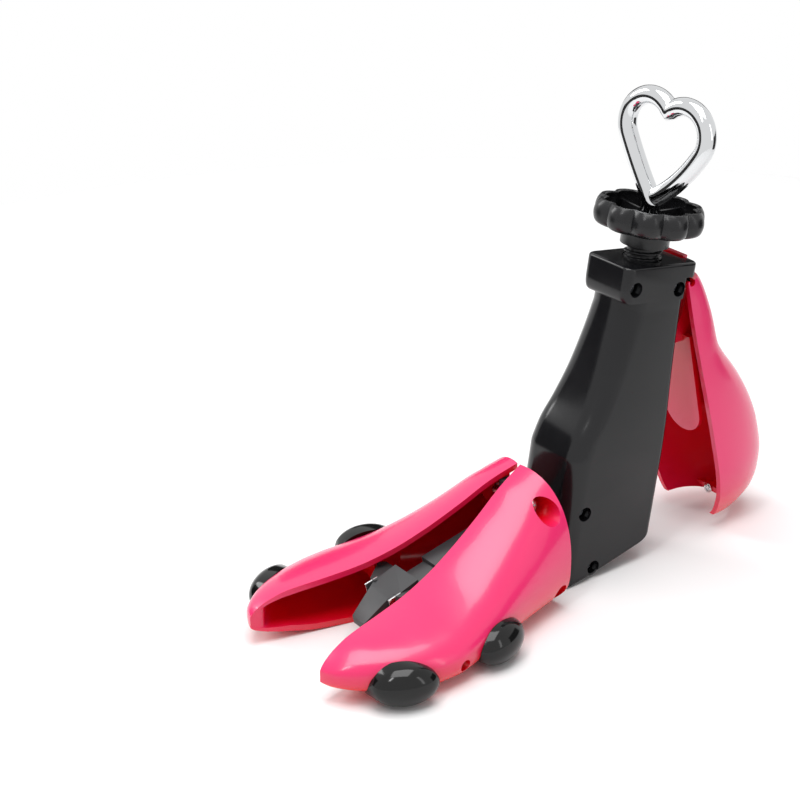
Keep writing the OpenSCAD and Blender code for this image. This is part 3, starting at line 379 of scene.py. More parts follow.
# %% Cutting, joining and rounding
def bake(piece):
    bpy.context.view_layer.update()
    graph = bpy.context.evaluated_depsgraph_get()
    made = bpy.data.meshes.new_from_object(piece.evaluated_get(graph))
    piece.modifiers.clear()
    piece.data = made
    return piece


def drop(piece):
    bpy.data.objects.remove(piece)


def combine_with(piece, how, *others):
    for other in others:
        modifier = piece.modifiers.new(how.lower(), "BOOLEAN")
        modifier.operation = how
        modifier.solver = "EXACT"
        modifier.object = other
    bake(piece)
    for other in others:
        drop(other)
    return piece


def cut(piece, *others):
    return combine_with(piece, "DIFFERENCE", *others)


def join(piece, *others):
    return combine_with(piece, "UNION", *others)


def keep(piece, *others):
    return combine_with(piece, "INTERSECT", *others)


def rounded(piece, width, angle, segments=2):
    modifier = piece.modifiers.new("round", "BEVEL")
    modifier.width = width * MM
    modifier.segments = segments
    modifier.limit_method = "ANGLE"
    modifier.angle_limit = radians(angle)
    modifier.use_clamp_overlap = True
    modifier.miter_outer = "MITER_ARC"
    return bake(piece)


print("an edge is rounded in two steps, or in one where a piece asks for it")

# %% [markdown]
# A finished piece gets its material and the body it rides on, and the imported nodes it stands for
# are hidden. Faces that meet at a small angle are shaded as one smooth surface. A right piece is made
# as a left one and mirrored.

# %% Finishing a piece
def finish(piece, body, material, stands_for, smooth):
    piece.data.materials.clear()
    piece.data.materials.append(material)
    for face in piece.data.polygons:
        face.use_smooth = True
        face.material_index = 0
    piece.data.set_sharp_from_angle(angle=radians(smooth))
    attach(piece, body)
    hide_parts(*stands_for)
    print(f"{piece.name}: {len(piece.data.vertices)} points, rides on {body}")


def mirrored(piece):
    piece.data.transform(Matrix.Scale(-1, 4, (1, 0, 0)))
    piece.data.flip_normals()
    return piece


# %% [markdown]
# Each group of pieces has a frame of its own: the body leans back from its foot, the big thread
# stands on the handle rod's line, the lead screw runs down the arm, and the heel and toe shells
# swing. These matrices carry points in millimetres from those frames to the table.

# %% Frames of the pieces
LEAN, ARM_SLOPE, HEEL_OPEN, TOE_OPEN = radians(8.4), radians(13), radians(19.7), radians(11.3)
STEM_Y, GEAR_Z, BODY_H = 26.5, 45.4, 137.2
REAR_Y, FRONT_Y, BLOCK_Y, BLOCK_Z = 41.5, -8.5, 7.0, 122.0
PIN_Y, PIN_Z = 44.5, 128.5
PIN_IN_HEEL = Vector((2.25, -2.61))
APEX_Y = -14.0
NECK_HALF, NECK_FRONT = 13.2, STEM_Y - 17.5

LEANING = Matrix.Rotation(-LEAN, 4, "X")
ON_ROD = LEANING @ Matrix.Translation((0, STEM_Y, 0))
CROSSING = LEANING @ Vector((0, STEM_Y, GEAR_Z))
ON_SCREW = Matrix.Translation(CROSSING) @ Matrix.Rotation(pi / 2 + ARM_SLOPE, 4, "X")
ON_HEEL = (LEANING @ Matrix.Translation((0, PIN_Y, PIN_Z)) @ Matrix.Rotation(HEEL_OPEN, 4, "X")
           @ Matrix.Translation((0, *-PIN_IN_HEEL)))
ON_TOE = Matrix.Translation((0, APEX_Y, 0)) @ Matrix.Rotation(TOE_OPEN, 4, "Z")
ACROSS = Matrix.Rotation(pi / 2, 4, "Y")
FROM_SIDE = Matrix(((0, 0, 1, 0), (1, 0, 0, 0), (0, 1, 0, 0), (0, 0, 0, 1)))


def sideways(y, z, frame_of=Matrix.Identity(4), x=0.0):
    return frame_of @ Matrix.Translation((x, y, z)) @ ACROSS


print("gears meet at", [round(v, 1) for v in CROSSING], "mm")

# %% [markdown]
# The handle body is two glossy black half shells. Its cross-section starts wide and deep at the foot
# and closes in to a neck, with round front corners and tight rear ones. Each of its measures is a
# curve over the height. Its underside is a flat front part and a rise that ends in a soft bend.

# %% Body: section along the lean
SHOULDER_Z, NECK_Z = 57.0, 118.0
WALL, BELLY = 2.4, 17.5


def along_neck(z):
    return (z - SHOULDER_Z) / (NECK_Z - SHOULDER_Z)


def body_front_at(z):
    keys = [(0, 1), (0.14, 0.86), (0.31, 0.58), (0.49, 0.375), (0.7, 0.2), (0.88, 0.07), (1, 0)]
    return NECK_FRONT - BELLY * curve(along_neck(z), keys)


def body_half_width(z):
    return NECK_HALF + 3.8 * curve(along_neck(z), [(0, 1), (0.2, 0.86), (0.49, 0.47), (0.74, 0.2), (1, 0)])


def front_corner_at(z):
    return curve(along_neck(z), [(0, 8.5), (0.3, 8.8), (0.6, 10.5), (1, 11.8)])


def half_section(width, front, rear, front_r, rear_r, steps=14):
    points = [(0, front)]
    points += [(width - front_r + front_r * cos(radians(a)), front + front_r + front_r * sin(radians(a)))
               for a in spaced(-90, 0, steps)]
    points += [(width - rear_r + rear_r * cos(radians(a)), rear - rear_r + rear_r * sin(radians(a)))
               for a in spaced(0, 90, 6)]
    return points + [(0, rear)]


def body_form(name, inset, top):
    rings = []
    for z in [-14] + spaced(50, NECK_Z + 1, 44) + [top]:
        section = half_section(body_half_width(z) - inset, body_front_at(z) + inset, REAR_Y - inset,
                               front_corner_at(z) - inset, 3 - inset * 0.6)
        rings.append([(x, y, z) for x, y in section])
    return loft(name, rings, LEANING)


def underside(name, lift):
    path = [(-80, -40), (-80, 0), (FRONT_Y * cos(LEAN), 0), (7.4, 2.6), (26.4, 6.7)]
    a, b = (36.5, 9), (43.4, 10.5)
    c = (REAR_Y * cos(LEAN) + 24 * sin(LEAN), 24 * cos(LEAN) - REAR_Y * sin(LEAN))
    path += [tuple(a[k] * (1 - s)**2 + b[k] * 2 * s * (1 - s) + c[k] * s * s for k in (0, 1))
             for s in spaced(0, 1, 12)]
    path += [(80, c[1]), (80, -40)]
    return prism(name, path, -40, 40, Matrix.Translation((0, 0, lift)) @ FROM_SIDE)


print("half width at the shoulder and the neck:", body_half_width(SHOULDER_Z), body_half_width(NECK_Z))

# %% [markdown]
# One half is lofted, then the block under the knob, the lip behind it, the hinge lug and the foot are
# joined on, and the hollow, the slots and the bore are cut out. Four screws sit deep in the left
# half, in recesses with a boss behind each. The right half is the mirror without the recesses.

# %% Body: the two half shells
SCREWS_AT = [(12.8, 128.0), (37.4, 126.3), (0.7, 33.3), (10.4, 7.5)]
RECESS_R, RECESS_DEEP = 3.15, 5.0


def at_screw(i, x=0.0):
    return sideways(*SCREWS_AT[i], LEANING, x)


def seat_of(i):
    return body_half_width(SCREWS_AT[i][1]) - RECESS_DEEP


def half_ring(z, inset, front, rear, front_r, rear_r):
    return [(x, y, z) for x, y in half_section(NECK_HALF - inset, front + inset, rear - inset, front_r, rear_r)]


def rolled_in(height):
    return (NECK_FRONT - BLOCK_Y) * curve(height, [(0, 1), (0.8, 0.58), (2.2, 0.26), (3.9, 0.08), (5.6, 0)])


def top_rounded(low, radius):
    shoulder = BODY_H - radius
    rise = [low + d for d in (0, 0.4, 0.8, 1.5, 2.2, 3.0, 3.9, 4.8, 5.6) if low + d < shoulder]
    return [(z, 0) for z in rise] + [(shoulder + radius * sin(a), radius * (1 - cos(a)))
                                     for a in spaced(0, pi / 2, 7)]


def body_half(name, has_recesses):
    half = body_form(name, 0, BLOCK_Z + 2)
    head = loft("head", [half_ring(z, inset, BLOCK_Y + rolled_in(z - BLOCK_Z), REAR_Y, 4, 1.5)
                         for z, inset in top_rounded(BLOCK_Z, 1.2)], LEANING)
    lip = loft("lip", [half_ring(z, inset, REAR_Y - 8, REAR_Y + 5, 3, 3)
                       for z, inset in top_rounded(BODY_H - 6.2, 1.0)], LEANING)
    join(half, head, lip)
    cut(half, underside("under", 0))
    hollow = body_form("hollow", WALL, BODY_H - 3)
    cut(hollow, underside("under", WALL))
    cut(half, hollow)
    tools = [rod("bore", 8.15, BLOCK_Z, BODY_H + 10, ON_ROD),
             block("window", (-1, REAR_Y - 4.4, 97.8), (7, REAR_Y + 1.6, 124.8), LEANING),
             block("slot", (-1, REAR_Y + 1.1, BODY_H - 7.2), (6.6, REAR_Y + 7, BODY_H + 1), LEANING),
             block("arm_way", (-1, -6.56, 23), (5.56, 6.56, 43), ON_SCREW)]
    if has_recesses:
        for i in range(4):
            seat = seat_of(i)
            join(half, rod("boss", RECESS_R + 1, seat - 1.2, seat + RECESS_DEEP - 1, at_screw(i)))
            tools.append(rod("recess", RECESS_R, seat, seat + 20, at_screw(i), 48))
            tools.append(rod("shank_hole", 1.3, -1, seat + 1, at_screw(i), 24))
    lug = rod("lug", 3.0, 6.9, 9.6, sideways(PIN_Y, PIN_Z, LEANING), 48)
    web = block("web", (6.9, REAR_Y - 1, PIN_Z - 3), (9.6, PIN_Y, PIN_Z + 3), LEANING)
    foot = prism("foot", [(-8, 0), (28, 0), (28, 9.02), (7.4, 3.8), (-8, 1.5)], 0, 9, FROM_SIDE)
    join(half, lug, web, foot)
    cut(half, *tools)
    return rounded(half, 0.45, 42)


left_body = body_half("body_half_left", True)
right_body = mirrored(body_half("body_half_right", False))
finish(left_body, "body", BLACK, ["body_shell_left"], 35)
finish(right_body, "body", BLACK, ["body_shell_right"], 35)

# %% [markdown]
# A cross-head screw sits deep in each recess. Only its head shows, so it is a low dome with a cross
# cut in it, and a shank that goes on into the other half. One function makes every such screw here.

# %% Cross-head screws
def cross_screw(name, place, head_r, head_t, shank_r, tail, dome=0.35):
    profile = [(shank_r, tail), (shank_r, 0.2), (head_r, 0.2), (head_r, head_t * 0.45)]
    profile += [(head_r * cos(a) ** 0.8, head_t * 0.45 + (head_t * 0.55 + dome) * sin(a) * 0.8)
                for a in (0.3, 0.6, 0.9, 1.2)]
    screw = loft(name, [circle(r, z, 40) for r, z in profile], place)
    top = head_t + dome
    turns = [place @ Matrix.Rotation(a, 4, "Z") for a in (0.4, 0.4 + pi / 2)]
    cut(screw, *[block("slot", (-head_r * 0.62, -head_r * 0.14, top * 0.5),
                       (head_r * 0.62, head_r * 0.14, top + 1), turn) for turn in turns])
    return rounded(screw, 0.08, 40, 1)


def together(name, pieces):
    work = bmesh.new()
    for piece in pieces:
        work.from_mesh(piece.data)
        drop(piece)
    mesh = bpy.data.meshes.new(name)
    work.to_mesh(mesh)
    work.free()
    made = bpy.data.objects.new(name, mesh)
    bpy.context.collection.objects.link(made)
    return made


body_screws = []
for i in range(4):
    tail = (3.5 if i == 2 else -7.5) - seat_of(i)
    body_screws.append(cross_screw(f"body_screw_{i}", at_screw(i, seat_of(i)), 2.6, 1.6, 1.3, tail))
finish(together("body_screw_set", body_screws), "body", STEEL, ["body_screws"], 35)

# %% [markdown]
# The heel's pin, the nut and the bearings stay as the solids make them, because they are plain
# turned parts inside the body. They still get a real metal, for the views where they show.

# %% Turned parts that stay as they are
def dress(material, *nodes):
    for name in nodes:
        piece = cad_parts[name]
        piece.data.materials.clear()
        piece.data.materials.append(material)
    print(material.name, "on", ", ".join(nodes))


dress(STEEL, "heel_pin", "rod_clip", "gear_clip", "thrust_washer", "pusher", "lead_screw")
dress(BRASS, "sleeve_nut", "screw_bush", "stem_gear", "screw_gear", "wedge_nut")
dress(INNER_BLACK, "stem_bush")

# %% [markdown]
# The knob is a hollow lobed cup, moulded in satin black plastic. Its rim is one profile turned about
# the rod, where the radius dips ten times a turn to a narrow valley. The profile runs up the
# outside, over the rounded lip and down the inside, so the cup has a real wall.

# %% Knob: lobed cup
KNOB_LOBES, KNOB_TURN = 10, radians(-10)
COLLAR_Z, RIM_Z, KNOB_H = BODY_H + 5.5, BODY_H + 11.8, 11.2


def smooth_path(points, steps):
    ends = [points[0]] + list(points) + [points[-1]]
    path = []
    for i in range(1, len(ends) - 2):
        p, a, b, n = ends[i - 1:i + 3]
        for k in range(steps):
            s = k / steps
            path.append(tuple(
                0.5 * (2 * a[j] + (b[j] - p[j]) * s + (2 * p[j] - 5 * a[j] + 4 * b[j] - n[j]) * s * s
                       + (3 * a[j] - p[j] - 3 * b[j] + n[j]) * s**3) for j in range(len(a))))
    return path + [tuple(points[-1])]


def lobed_ring(radius, deep, height):
    dips = [(a, radius - deep * power(1 - abs(cos(a * KNOB_LOBES / 2)), 1.15)) for a in around(240)]
    return [(r * cos(a), r * sin(a), height) for a, r in dips]


def make_knob():
    out = [(9.8, 0, -0.2), (16.5, 1.1, 0), (20, 2.0, 0.65), (22.3, 2.6, 2.25), (23.2, 2.85, 5.6),
           (22.7, 2.75, 8.7), (21.6, 2.55, 10.6)]
    lip = [(21.2, 2.45, 11.05), (20.4, 2.35, 11.2), (19.6, 2.3, 11.05)]
    inside = [(19.3, 2.3, 10.6), (20.1, 2.5, 8.4), (19.8, 2.5, 3.5), (17.8, 2.0, 2.1), (8.1, 0, 1.7)]
    rows = smooth_path(out, 4) + lip + smooth_path(inside, 3)
    turned_to = ON_ROD @ Matrix.Rotation(KNOB_TURN, 4, "Z")
    knob = loft("lobed_knob", [lobed_ring(r, d, RIM_Z + z) for r, d, z in rows], turned_to)
    collar = rod("collar", 10.1, COLLAR_Z, RIM_Z + 1, ON_ROD, 96)
    hub = rod("hub", 9.1, RIM_Z, RIM_Z + 5, ON_ROD, 96)
    ribs = [block("rib", (7.1, -0.7, RIM_Z + 2), (20.9, 0.7, RIM_Z + 7),
                  turned_to @ Matrix.Rotation(2 * pi * i / KNOB_LOBES, 4, "Z"))
            for i in range(1, KNOB_LOBES, 2)]
    join(knob, collar, hub, *ribs)
    cut(knob, rod("bore", 6.53, COLLAR_Z - 1, COLLAR_Z + 40, ON_ROD))
    return rounded(knob, 0.4, 45)


finish(make_knob(), "knob", KNOB_BLACK, ["length_knob"], 38)

# %% [markdown]
# Under the knob runs a coarse black thread. A real helix is easy on a grid: every point's radius
# depends on how far its height is from the ridge, and the ridge climbs one pitch in each turn.

# %% Threaded sleeve
SLEEVE_R, CORE_R, THREAD_DEEP, PITCH = 7.85, 5.8, 1.1, 2.5
SLEEVE_FOOT = BODY_H - 24.7


def thread_radius(height, angle):
    place = (height / PITCH - angle / (2 * pi)) % 1.0
    shape = curve(place, [(0, 1), (0.22, 1), (0.42, 0), (0.78, 0), (1, 1)])
    return SLEEVE_R - THREAD_DEEP * (1 - shape)


def threaded_ring(z):
    fade = 0.75 + 0.25 * min(1.0, z - SLEEVE_FOOT)
    ridge = [(a, CORE_R + (thread_radius(z, a) - CORE_R) * fade) for a in around(72)]
    return [(r * cos(a), r * sin(a), z) for a, r in ridge]


def make_sleeve():
    thread = loft("threaded_tube", [threaded_ring(z) for z in spaced(SLEEVE_FOOT, COLLAR_Z, 190)], ON_ROD)
    join(thread, rod("shank", 6.5, COLLAR_Z - 0.5, RIM_Z + 5.5, ON_ROD))
    return cut(thread, rod("bore", 4.3, SLEEVE_FOOT - 1, RIM_Z + 10, ON_ROD))


finish(make_sleeve(), "knob", KNOB_BLACK, ["threaded_sleeve"], 30)

# %% [markdown]
# The handle is one bright rod. It comes up through the knob, leans out into the nearly straight left
# leg of a heart, runs over both lobes and bows down the right leg to its own foot, where it ends.
# The path is a list of points, and a round section is swept along it with a frame that never twists.

# %% Heart handle
ROD_R = 3.9
HEART_Z = RIM_Z + KNOB_H + 1.2
LOBE_R, LOBE_X, LOBE_Z = 11.6, 8.9, 29.0
HEART_TILT, HEART_TURN, BOW_LEFT, BOW_RIGHT = radians(3.3), radians(6), 190.0, 64.0


def sweep(name, path, radius_at, place, sides=28):
    path = [Vector(p) for p in path]
    side = Vector((0, 1, 0))
    rings = []
    for i, p in enumerate(path):
        along = (path[min(i + 1, len(path) - 1)] - path[max(i - 1, 0)]).normalized()
        side = (side - along * side.dot(along)).normalized()
        other = along.cross(side)
        r = radius_at(i)
        rings.append([tuple(p + side * (r * cos(a)) + other * (r * sin(a))) for a in around(sides)])
    return loft(name, rings, place)


def heart_side(bow):
    reach = sqrt(LOBE_X**2 + LOBE_Z**2)
    along = (reach**2 - LOBE_R**2 + 2 * bow * LOBE_R) / (2 * reach)
    off = sqrt(bow**2 - along**2)
    cx, cz = (LOBE_X * along - LOBE_Z * off) / reach, (LOBE_Z * along + LOBE_X * off) / reach
    foot, join_at = atan2(-cz, -cx), atan2(LOBE_Z - cz, LOBE_X - cx)
    leg = [(cx + bow * cos(a), 0, cz + bow * sin(a)) for a in spaced(foot, join_at, 22)]
    lobe = [(LOBE_X + LOBE_R * cos(a), 0, LOBE_Z + LOBE_R * sin(a))
            for a in spaced(join_at, acos(-LOBE_X / LOBE_R), 42)]
    return leg[2:] + lobe[1:]


def make_heart():
    tilted = Matrix.Rotation(HEART_TURN, 4, "Z") @ Matrix.Rotation(HEART_TILT, 4, "Y")
    left = [tuple(tilted @ Vector((-x, y, z))) for x, y, z in heart_side(BOW_LEFT)]
    right = [tuple(tilted @ Vector(p)) for p in heart_side(BOW_RIGHT)]
    shank = [(0, 0, z) for z in spaced(-86, -3.2, 12)] + [(-0.15, 0, -1.6), (-0.8, 0, 0.5)]
    path = shank + left + right[::-1][1:]
    last = Vector(path[-1])
    down = (last - Vector(path[-2])).normalized()
    tip = [tuple(last + down * d) for d in (0.5, 1.2, 1.8, 2.2, 2.35)]
    shrink = dict(zip(range(len(path), len(path) + 5), (0.99, 0.93, 0.78, 0.5, 0.2)))
    return sweep("heart_rod", path + tip, lambda i: ROD_R * shrink.get(i, 1.0),
                 ON_ROD @ Matrix.Translation((0, 0, HEART_Z)))


finish(make_heart(), "handle", CHROME, ["heart_handle"], 60)

# %% [markdown]
# The heel shell is a scoop: a row of U-shaped sections down its rim, each with its own depth, width
# and squareness, and a floor that slants so that it lies level when the shell is swung out. Each
# section is half of a squared-off ellipse, which is round at a power of 2 and boxy at 4.

# %% Heel shell: section down the rim
HEEL_L, HEEL_WALL = 117.8, 2.4
FLOOR_SLANT = tan(HEEL_OPEN - LEAN)


def heel_depth(q):
    return curve(q, [(1, 8), (4, 9.8), (12, 12.6), (23, 15.2), (37, 17.2), (45, 20.8), (52.6, 25.4), (60, 29.6),
                     (68, 33.2), (76, 36), (85, 38.2), (97, 39.2), (105, 37), (110.5, 33.6), (114.5, 27.5),
                     (117, 22), (117.8, 19)])


def heel_half_width(q):
    keys = [(0, 0), (20, 0.15), (39, 0.38), (60, 0.67), (80, 0.9), (95, 1), (105, 0.9), (110.5, 0.72),
            (114.5, 0.53), (117, 0.34), (117.8, 0.25)]
    return NECK_HALF + 8.7 * curve(q, keys)


def heel_row(q, inset, steps=49):
    square = curve(q, [(0, 4.2), (20, 3.6), (45, 2.7), (65, 2.3), (100, 2.2)])
    floor = curve(q, [(85, 0), (98, 0.3), (105, 0.6), (110.5, 0.8), (114.5, 0.9), (117, 1)])
    row = []
    for a in spaced(0, pi, steps):
        c = cos(a)
        x = (heel_half_width(q) - inset) * (1 if c > 0 else -1) * power(abs(c), 2 / square)
        p = (heel_depth(q) - inset) * power(sin(a), 2 / square)
        row.append((x if abs(c) > 1e-6 else 0.0, p, -q - floor * FLOOR_SLANT * p))
    return row


print("heel shell:", 2 * heel_half_width(95), "mm wide and", heel_depth(97), "mm deep")

# %% [markdown]
# Inside the scoop there is a tongue plate on a web, a knuckle for the hinge pin at the top, and the
# rib that the pusher's nose runs down. The rib's face is worked out from the motion: it is where the
# nose touches at every step of the swing.

# %% Heel shell
def make_heel():
    rows = [HEEL_L, 117.5, 117] + spaced(116, 106, 12) + spaced(104.5, 20, 44) + spaced(18, 1.6, 10)
    cup = open_shell("heel_scoop", [heel_row(q, 0) for q in rows],
                     [heel_row(q, HEEL_WALL) for q in rows], ON_HEEL)
    knuckle_at = ON_HEEL @ Matrix.Translation((0, *PIN_IN_HEEL))
    top = prism("top", [(x, p) for x, p, _ in heel_row(2.6, 0.6)], -3.8, -1.7, ON_HEEL)
    knuckle = rod("knuckle", 3.0, -6.2, 6.2, knuckle_at @ ACROSS, 48)
    finger = block("finger", (-6, -0.5, 0), (6, 2.0, BODY_H + 1 - PIN_Z),
                   knuckle_at @ Matrix.Rotation(-HEEL_OPEN, 4, "X"))
    flat = Matrix.Translation((0, 3.5, 0)) @ Matrix.Rotation(pi / 2, 4, "X")
    outline = [(-9, -30), (9, -30), (10.5, -69)]
    outline += [(10.5 * cos(a), -69 + 10.5 * sin(a)) for a in spaced(0, -pi, 24)][1:]
    tongue = prism("tongue", outline, 0, 2, ON_HEEL @ flat)
    web_line = [(2.5, -33), (2.5, -72)]
    web_line += [(heel_depth(q) - 1.2, -q) for q in (72, 66, 60, 56, 52, 48, 45, 40, 33)]
    web = prism("web", web_line, -1.2, 1.2, ON_HEEL @ FROM_SIDE)
    join(cup, top, knuckle, web, tongue, finger, make_heel_rib(), make_heel_floor())
    tools = [rod("pin_hole", 1.56, -20, 20, knuckle_at @ ACROSS, 32)]
    tools += [block("lug_way", (x, -1, -7), (x + 3.7, 7.25, -0.5), ON_HEEL) for x in (-10.1, 6.4)]
    cut(cup, *tools)
    return rounded(cup, 0.5, 45)


NOSE_R = 2.25


def make_heel_rib():
    nose_y, nose_z, travel = REAR_Y + 4.5, SLEEVE_FOOT - 1.5 - 4.7, 15.0

    def seen(t):
        y, z, a = nose_y - PIN_Y, nose_z + travel - t - PIN_Z, -HEEL_OPEN * t / travel
        return Vector((y * cos(a) - z * sin(a), y * sin(a) + z * cos(a)))

    def face(t):
        step = (seen(t + 0.5) - seen(t)).normalized()
        return seen(t) + NOSE_R * Vector((-step[1], step[0])) + PIN_IN_HEEL

    line = [(0.25, -2.61), (4.25, -4.61)] + [tuple(face(t)) for t in spaced(0, 18, 19)]
    low = face(18.5)
    line += [tuple(low), (low[0] + 1, low[1] - 3)]
    line += [(heel_depth(q) - 1.2, -q) for q in (36, 28, 20, 12, 2.6)]
    return prism("rib", line, -5, 5, ON_HEEL @ FROM_SIDE)


def on_heel_floor(x=0.0):
    return ON_HEEL @ Matrix.Translation((x, 0, -HEEL_L)) @ Matrix.Rotation(LEAN - HEEL_OPEN, 4, "X")


def make_heel_floor():
    place = on_heel_floor()
    strip = prism("strip", [(15.6 * cos(a), 20.8 * sin(a)) for a in spaced(0, pi, 40)], 0, HEEL_WALL, place)
    return cut(strip, block("notch", (-20, -10, -1), (20, 15.5, 4), place))


finish(make_heel(), "heel", PINK, ["heel_shell"], 35)
heel_screw_at = on_heel_floor(-3) @ Matrix.Translation((0, 15.5, 1.2)) @ Matrix.Rotation(pi / 2, 4, "X")
heel_screw = cross_screw("heel_edge_screw", heel_screw_at, 2.3, 1.4, 1.0, -1.5)
finish(heel_screw, "heel", PLATED, ["heel_screw"], 35)

# %% [markdown]
# The toe is two half shells, mirrored but for one plug hole. One section function gives the height,
# the half width and the squareness at each place from the turning line to the tip. The inside is the
# same section drawn a wall smaller, and near the tip it closes, so the tip is solid plastic.

# %% Toe shell: section along the toe
TOE_WALL, TOE_RIM = 2.6, 0.3


def toe_top(u):
    return curve(u, [(0, 57.3), (15, 51.3), (30, 42.9), (45, 35.3), (60, 29.3), (75, 25.5), (90, 23.6),
                     (105, 22), (112, 20), (117, 17.6), (120, 15.2), (121, 13.6)])


def toe_bottom(u):
    return curve(u, [(75, 0), (92, 1), (106, 3.5), (114, 5.4), (118, 6.8), (120, 7.8), (121, 8.8)])


def toe_half_width(u):
    return curve(u, [(2.8, 28), (34, 30.4), (55, 32.8), (75, 34.4), (85, 32.8), (95, 29), (105, 22.5),
                     (112, 17), (116, 12.8), (119, 8.7), (120.3, 5.8), (121, 2.5)])


def toe_square(u, above):
    return curve(u, [(0, 2.25), (60, 1.9), (100, 2.15), (120, 2.5)]) if above else 3.2


def toe_widest(u):
    return curve(u, [(0, 20), (30, 18), (60, 14), (100, 11), (120, 12)])


def toe_row(u, inset, hollow, steps=49):
    row, wide = [], toe_widest(u)
    for a in spaced(-pi / 2, pi / 2, steps):
        square = toe_square(u, a > 0)
        height = (toe_top(u) - wide if a > 0 else wide - toe_bottom(u)) - inset
        width = toe_half_width(u) - TOE_RIM - inset
        x = TOE_RIM + hollow * width * power(cos(a), 2 / square)
        row.append((x, -u, wide + height * (1 if a > 0 else -1) * power(abs(sin(a)), 2 / square)))
    return row


TOE_PLACES = [2.8, 3.2] + spaced(4.5, 100, 66) + spaced(101.5, 117.5, 14) + spaced(118.1, 120.6, 6) + [121]
print("toe:", round(toe_half_width(75) * 2), "mm wide and", round(toe_top(0)), "mm high when shut")

# %% [markdown]
# Each shell gets a ramp that the wedge's wing runs on, a rear wall, and two screw pockets. They are
# joined, trimmed to the shell's own form by an intersection, and joined to the shell. Then the
# pockets and the holes for the pads' plugs are cut, square to the skin where each of them sits.

# %% Toe shells
POCKETS = [(9.2, 44.2, 5.2, 2.7), (7.4, 8.0, 4.2, 2.6)]
POCKET_SHIFT = 0.5
WING_Y, WING_X, WEDGE_TRAVEL = -74.5, 18.1, 14.0
FRONT_PAD, OPEN_HOLE = (101.0, 9.0, 0.0), (76.0, 9.0, 0.0)
NEAR_PAD, FAR_PAD = (53.5, 9.0, 0.0), (56.0, 15.0, radians(8))


def shell_skin(u, z):
    wide = toe_widest(u)
    square = toe_square(u, z > wide)
    height = toe_top(u) - wide if z > wide else wide - toe_bottom(u)
    bulge = power(1 - power(abs(z - wide) / height, square), 1 / square)
    return (TOE_RIM + (toe_half_width(u) - TOE_RIM) * bulge, -u, z)


def plan_turn(u):
    return atan((toe_half_width(u + 6) - toe_half_width(u - 6)) / 12)


def on_pad(u, z, tilt):
    return (ON_TOE @ Matrix.Translation(shell_skin(u, z)) @ Matrix.Rotation(plan_turn(u), 4, "Z")
            @ Matrix.Rotation(pi / 2 - tilt, 4, "Y"))


def wing_path():
    path = []
    for t in spaced(0, WEDGE_TRAVEL, 15):
        y, a = WING_Y + t * cos(ARM_SLOPE) - APEX_Y, TOE_OPEN * (1 - t / WEDGE_TRAVEL)
        path.append((WING_X * cos(a) + y * sin(a) + 0.55, y * cos(a) - WING_X * sin(a)))
    return path


def make_toe_shell(name, plugs):
    def hollow(u):
        return curve(u, [(100, 1), (108, 0.72), (113, 0.3), (115.5, 0.02)])

    def wall(u):
        return TOE_WALL * curve(u, [(104, 1), (119, 0.5)])

    cup = open_shell(name, [toe_row(u, 0, 1) for u in TOE_PLACES],
                     [toe_row(u, wall(u), hollow(u)) for u in TOE_PLACES], ON_TOE)
    inner_form = loft("inner_form", [toe_row(u, TOE_WALL / 2, 1) for u in TOE_PLACES], ON_TOE)
    path = wing_path()
    line = [(33, path[0][1] - 0.8), (path[0][0], path[0][1] - 0.8)] + path + [(31.2, path[-1][1])]
    inside = [prism("ramp", line, 11.5, 19, ON_TOE), block("rear", (6.5, -4.8, 0), (36.5, -2.8, 57), ON_TOE)]
    for u, z, pocket_r, _ in POCKETS:
        inside.append(rod("pocket_wall", pocket_r + 1.2, 4.5, 34.5, sideways(-u - POCKET_SHIFT, z, ON_TOE), 64))
    join(inside[0], *inside[1:])
    keep(inside[0], inner_form)
    join(cup, inside[0])
    tools = []
    for u, z, pocket_r, hole_r in POCKETS:
        tools.append(rod("pocket", pocket_r, 6.5, 60, sideways(-u - POCKET_SHIFT, z, ON_TOE), 64))
        tools.append(rod("screw_way", hole_r, -1, 20, sideways(-u, z, ON_TOE), 40))
    for plug in plugs:
        tools.append(rod("plug_hole", 2.5, -6, 6, on_pad(*plug), 40))
    cut(cup, *tools)
    return rounded(cup, 0.5, 48)


left_toe = make_toe_shell("toe_half_left", (FRONT_PAD, OPEN_HOLE, NEAR_PAD))
right_toe = mirrored(make_toe_shell("toe_half_right", (FRONT_PAD, OPEN_HOLE, FAR_PAD)))
finish(left_toe, "toe_left", PINK, ["toe_shell_left"], 35)
finish(right_toe, "toe_right", PINK, ["toe_shell_right"], 35)

# %% [markdown]
# The relief pads are glossy black domes that plug into holes of the toe shells. Their backs follow
# the shell's curve, so the rows of the back are read from the shell's own section function, and the
# front is an ellipsoid that meets it.

# %% Relief pads
PAD_L, PAD_W, PAD_T = 27.0, 17.2, 8.0


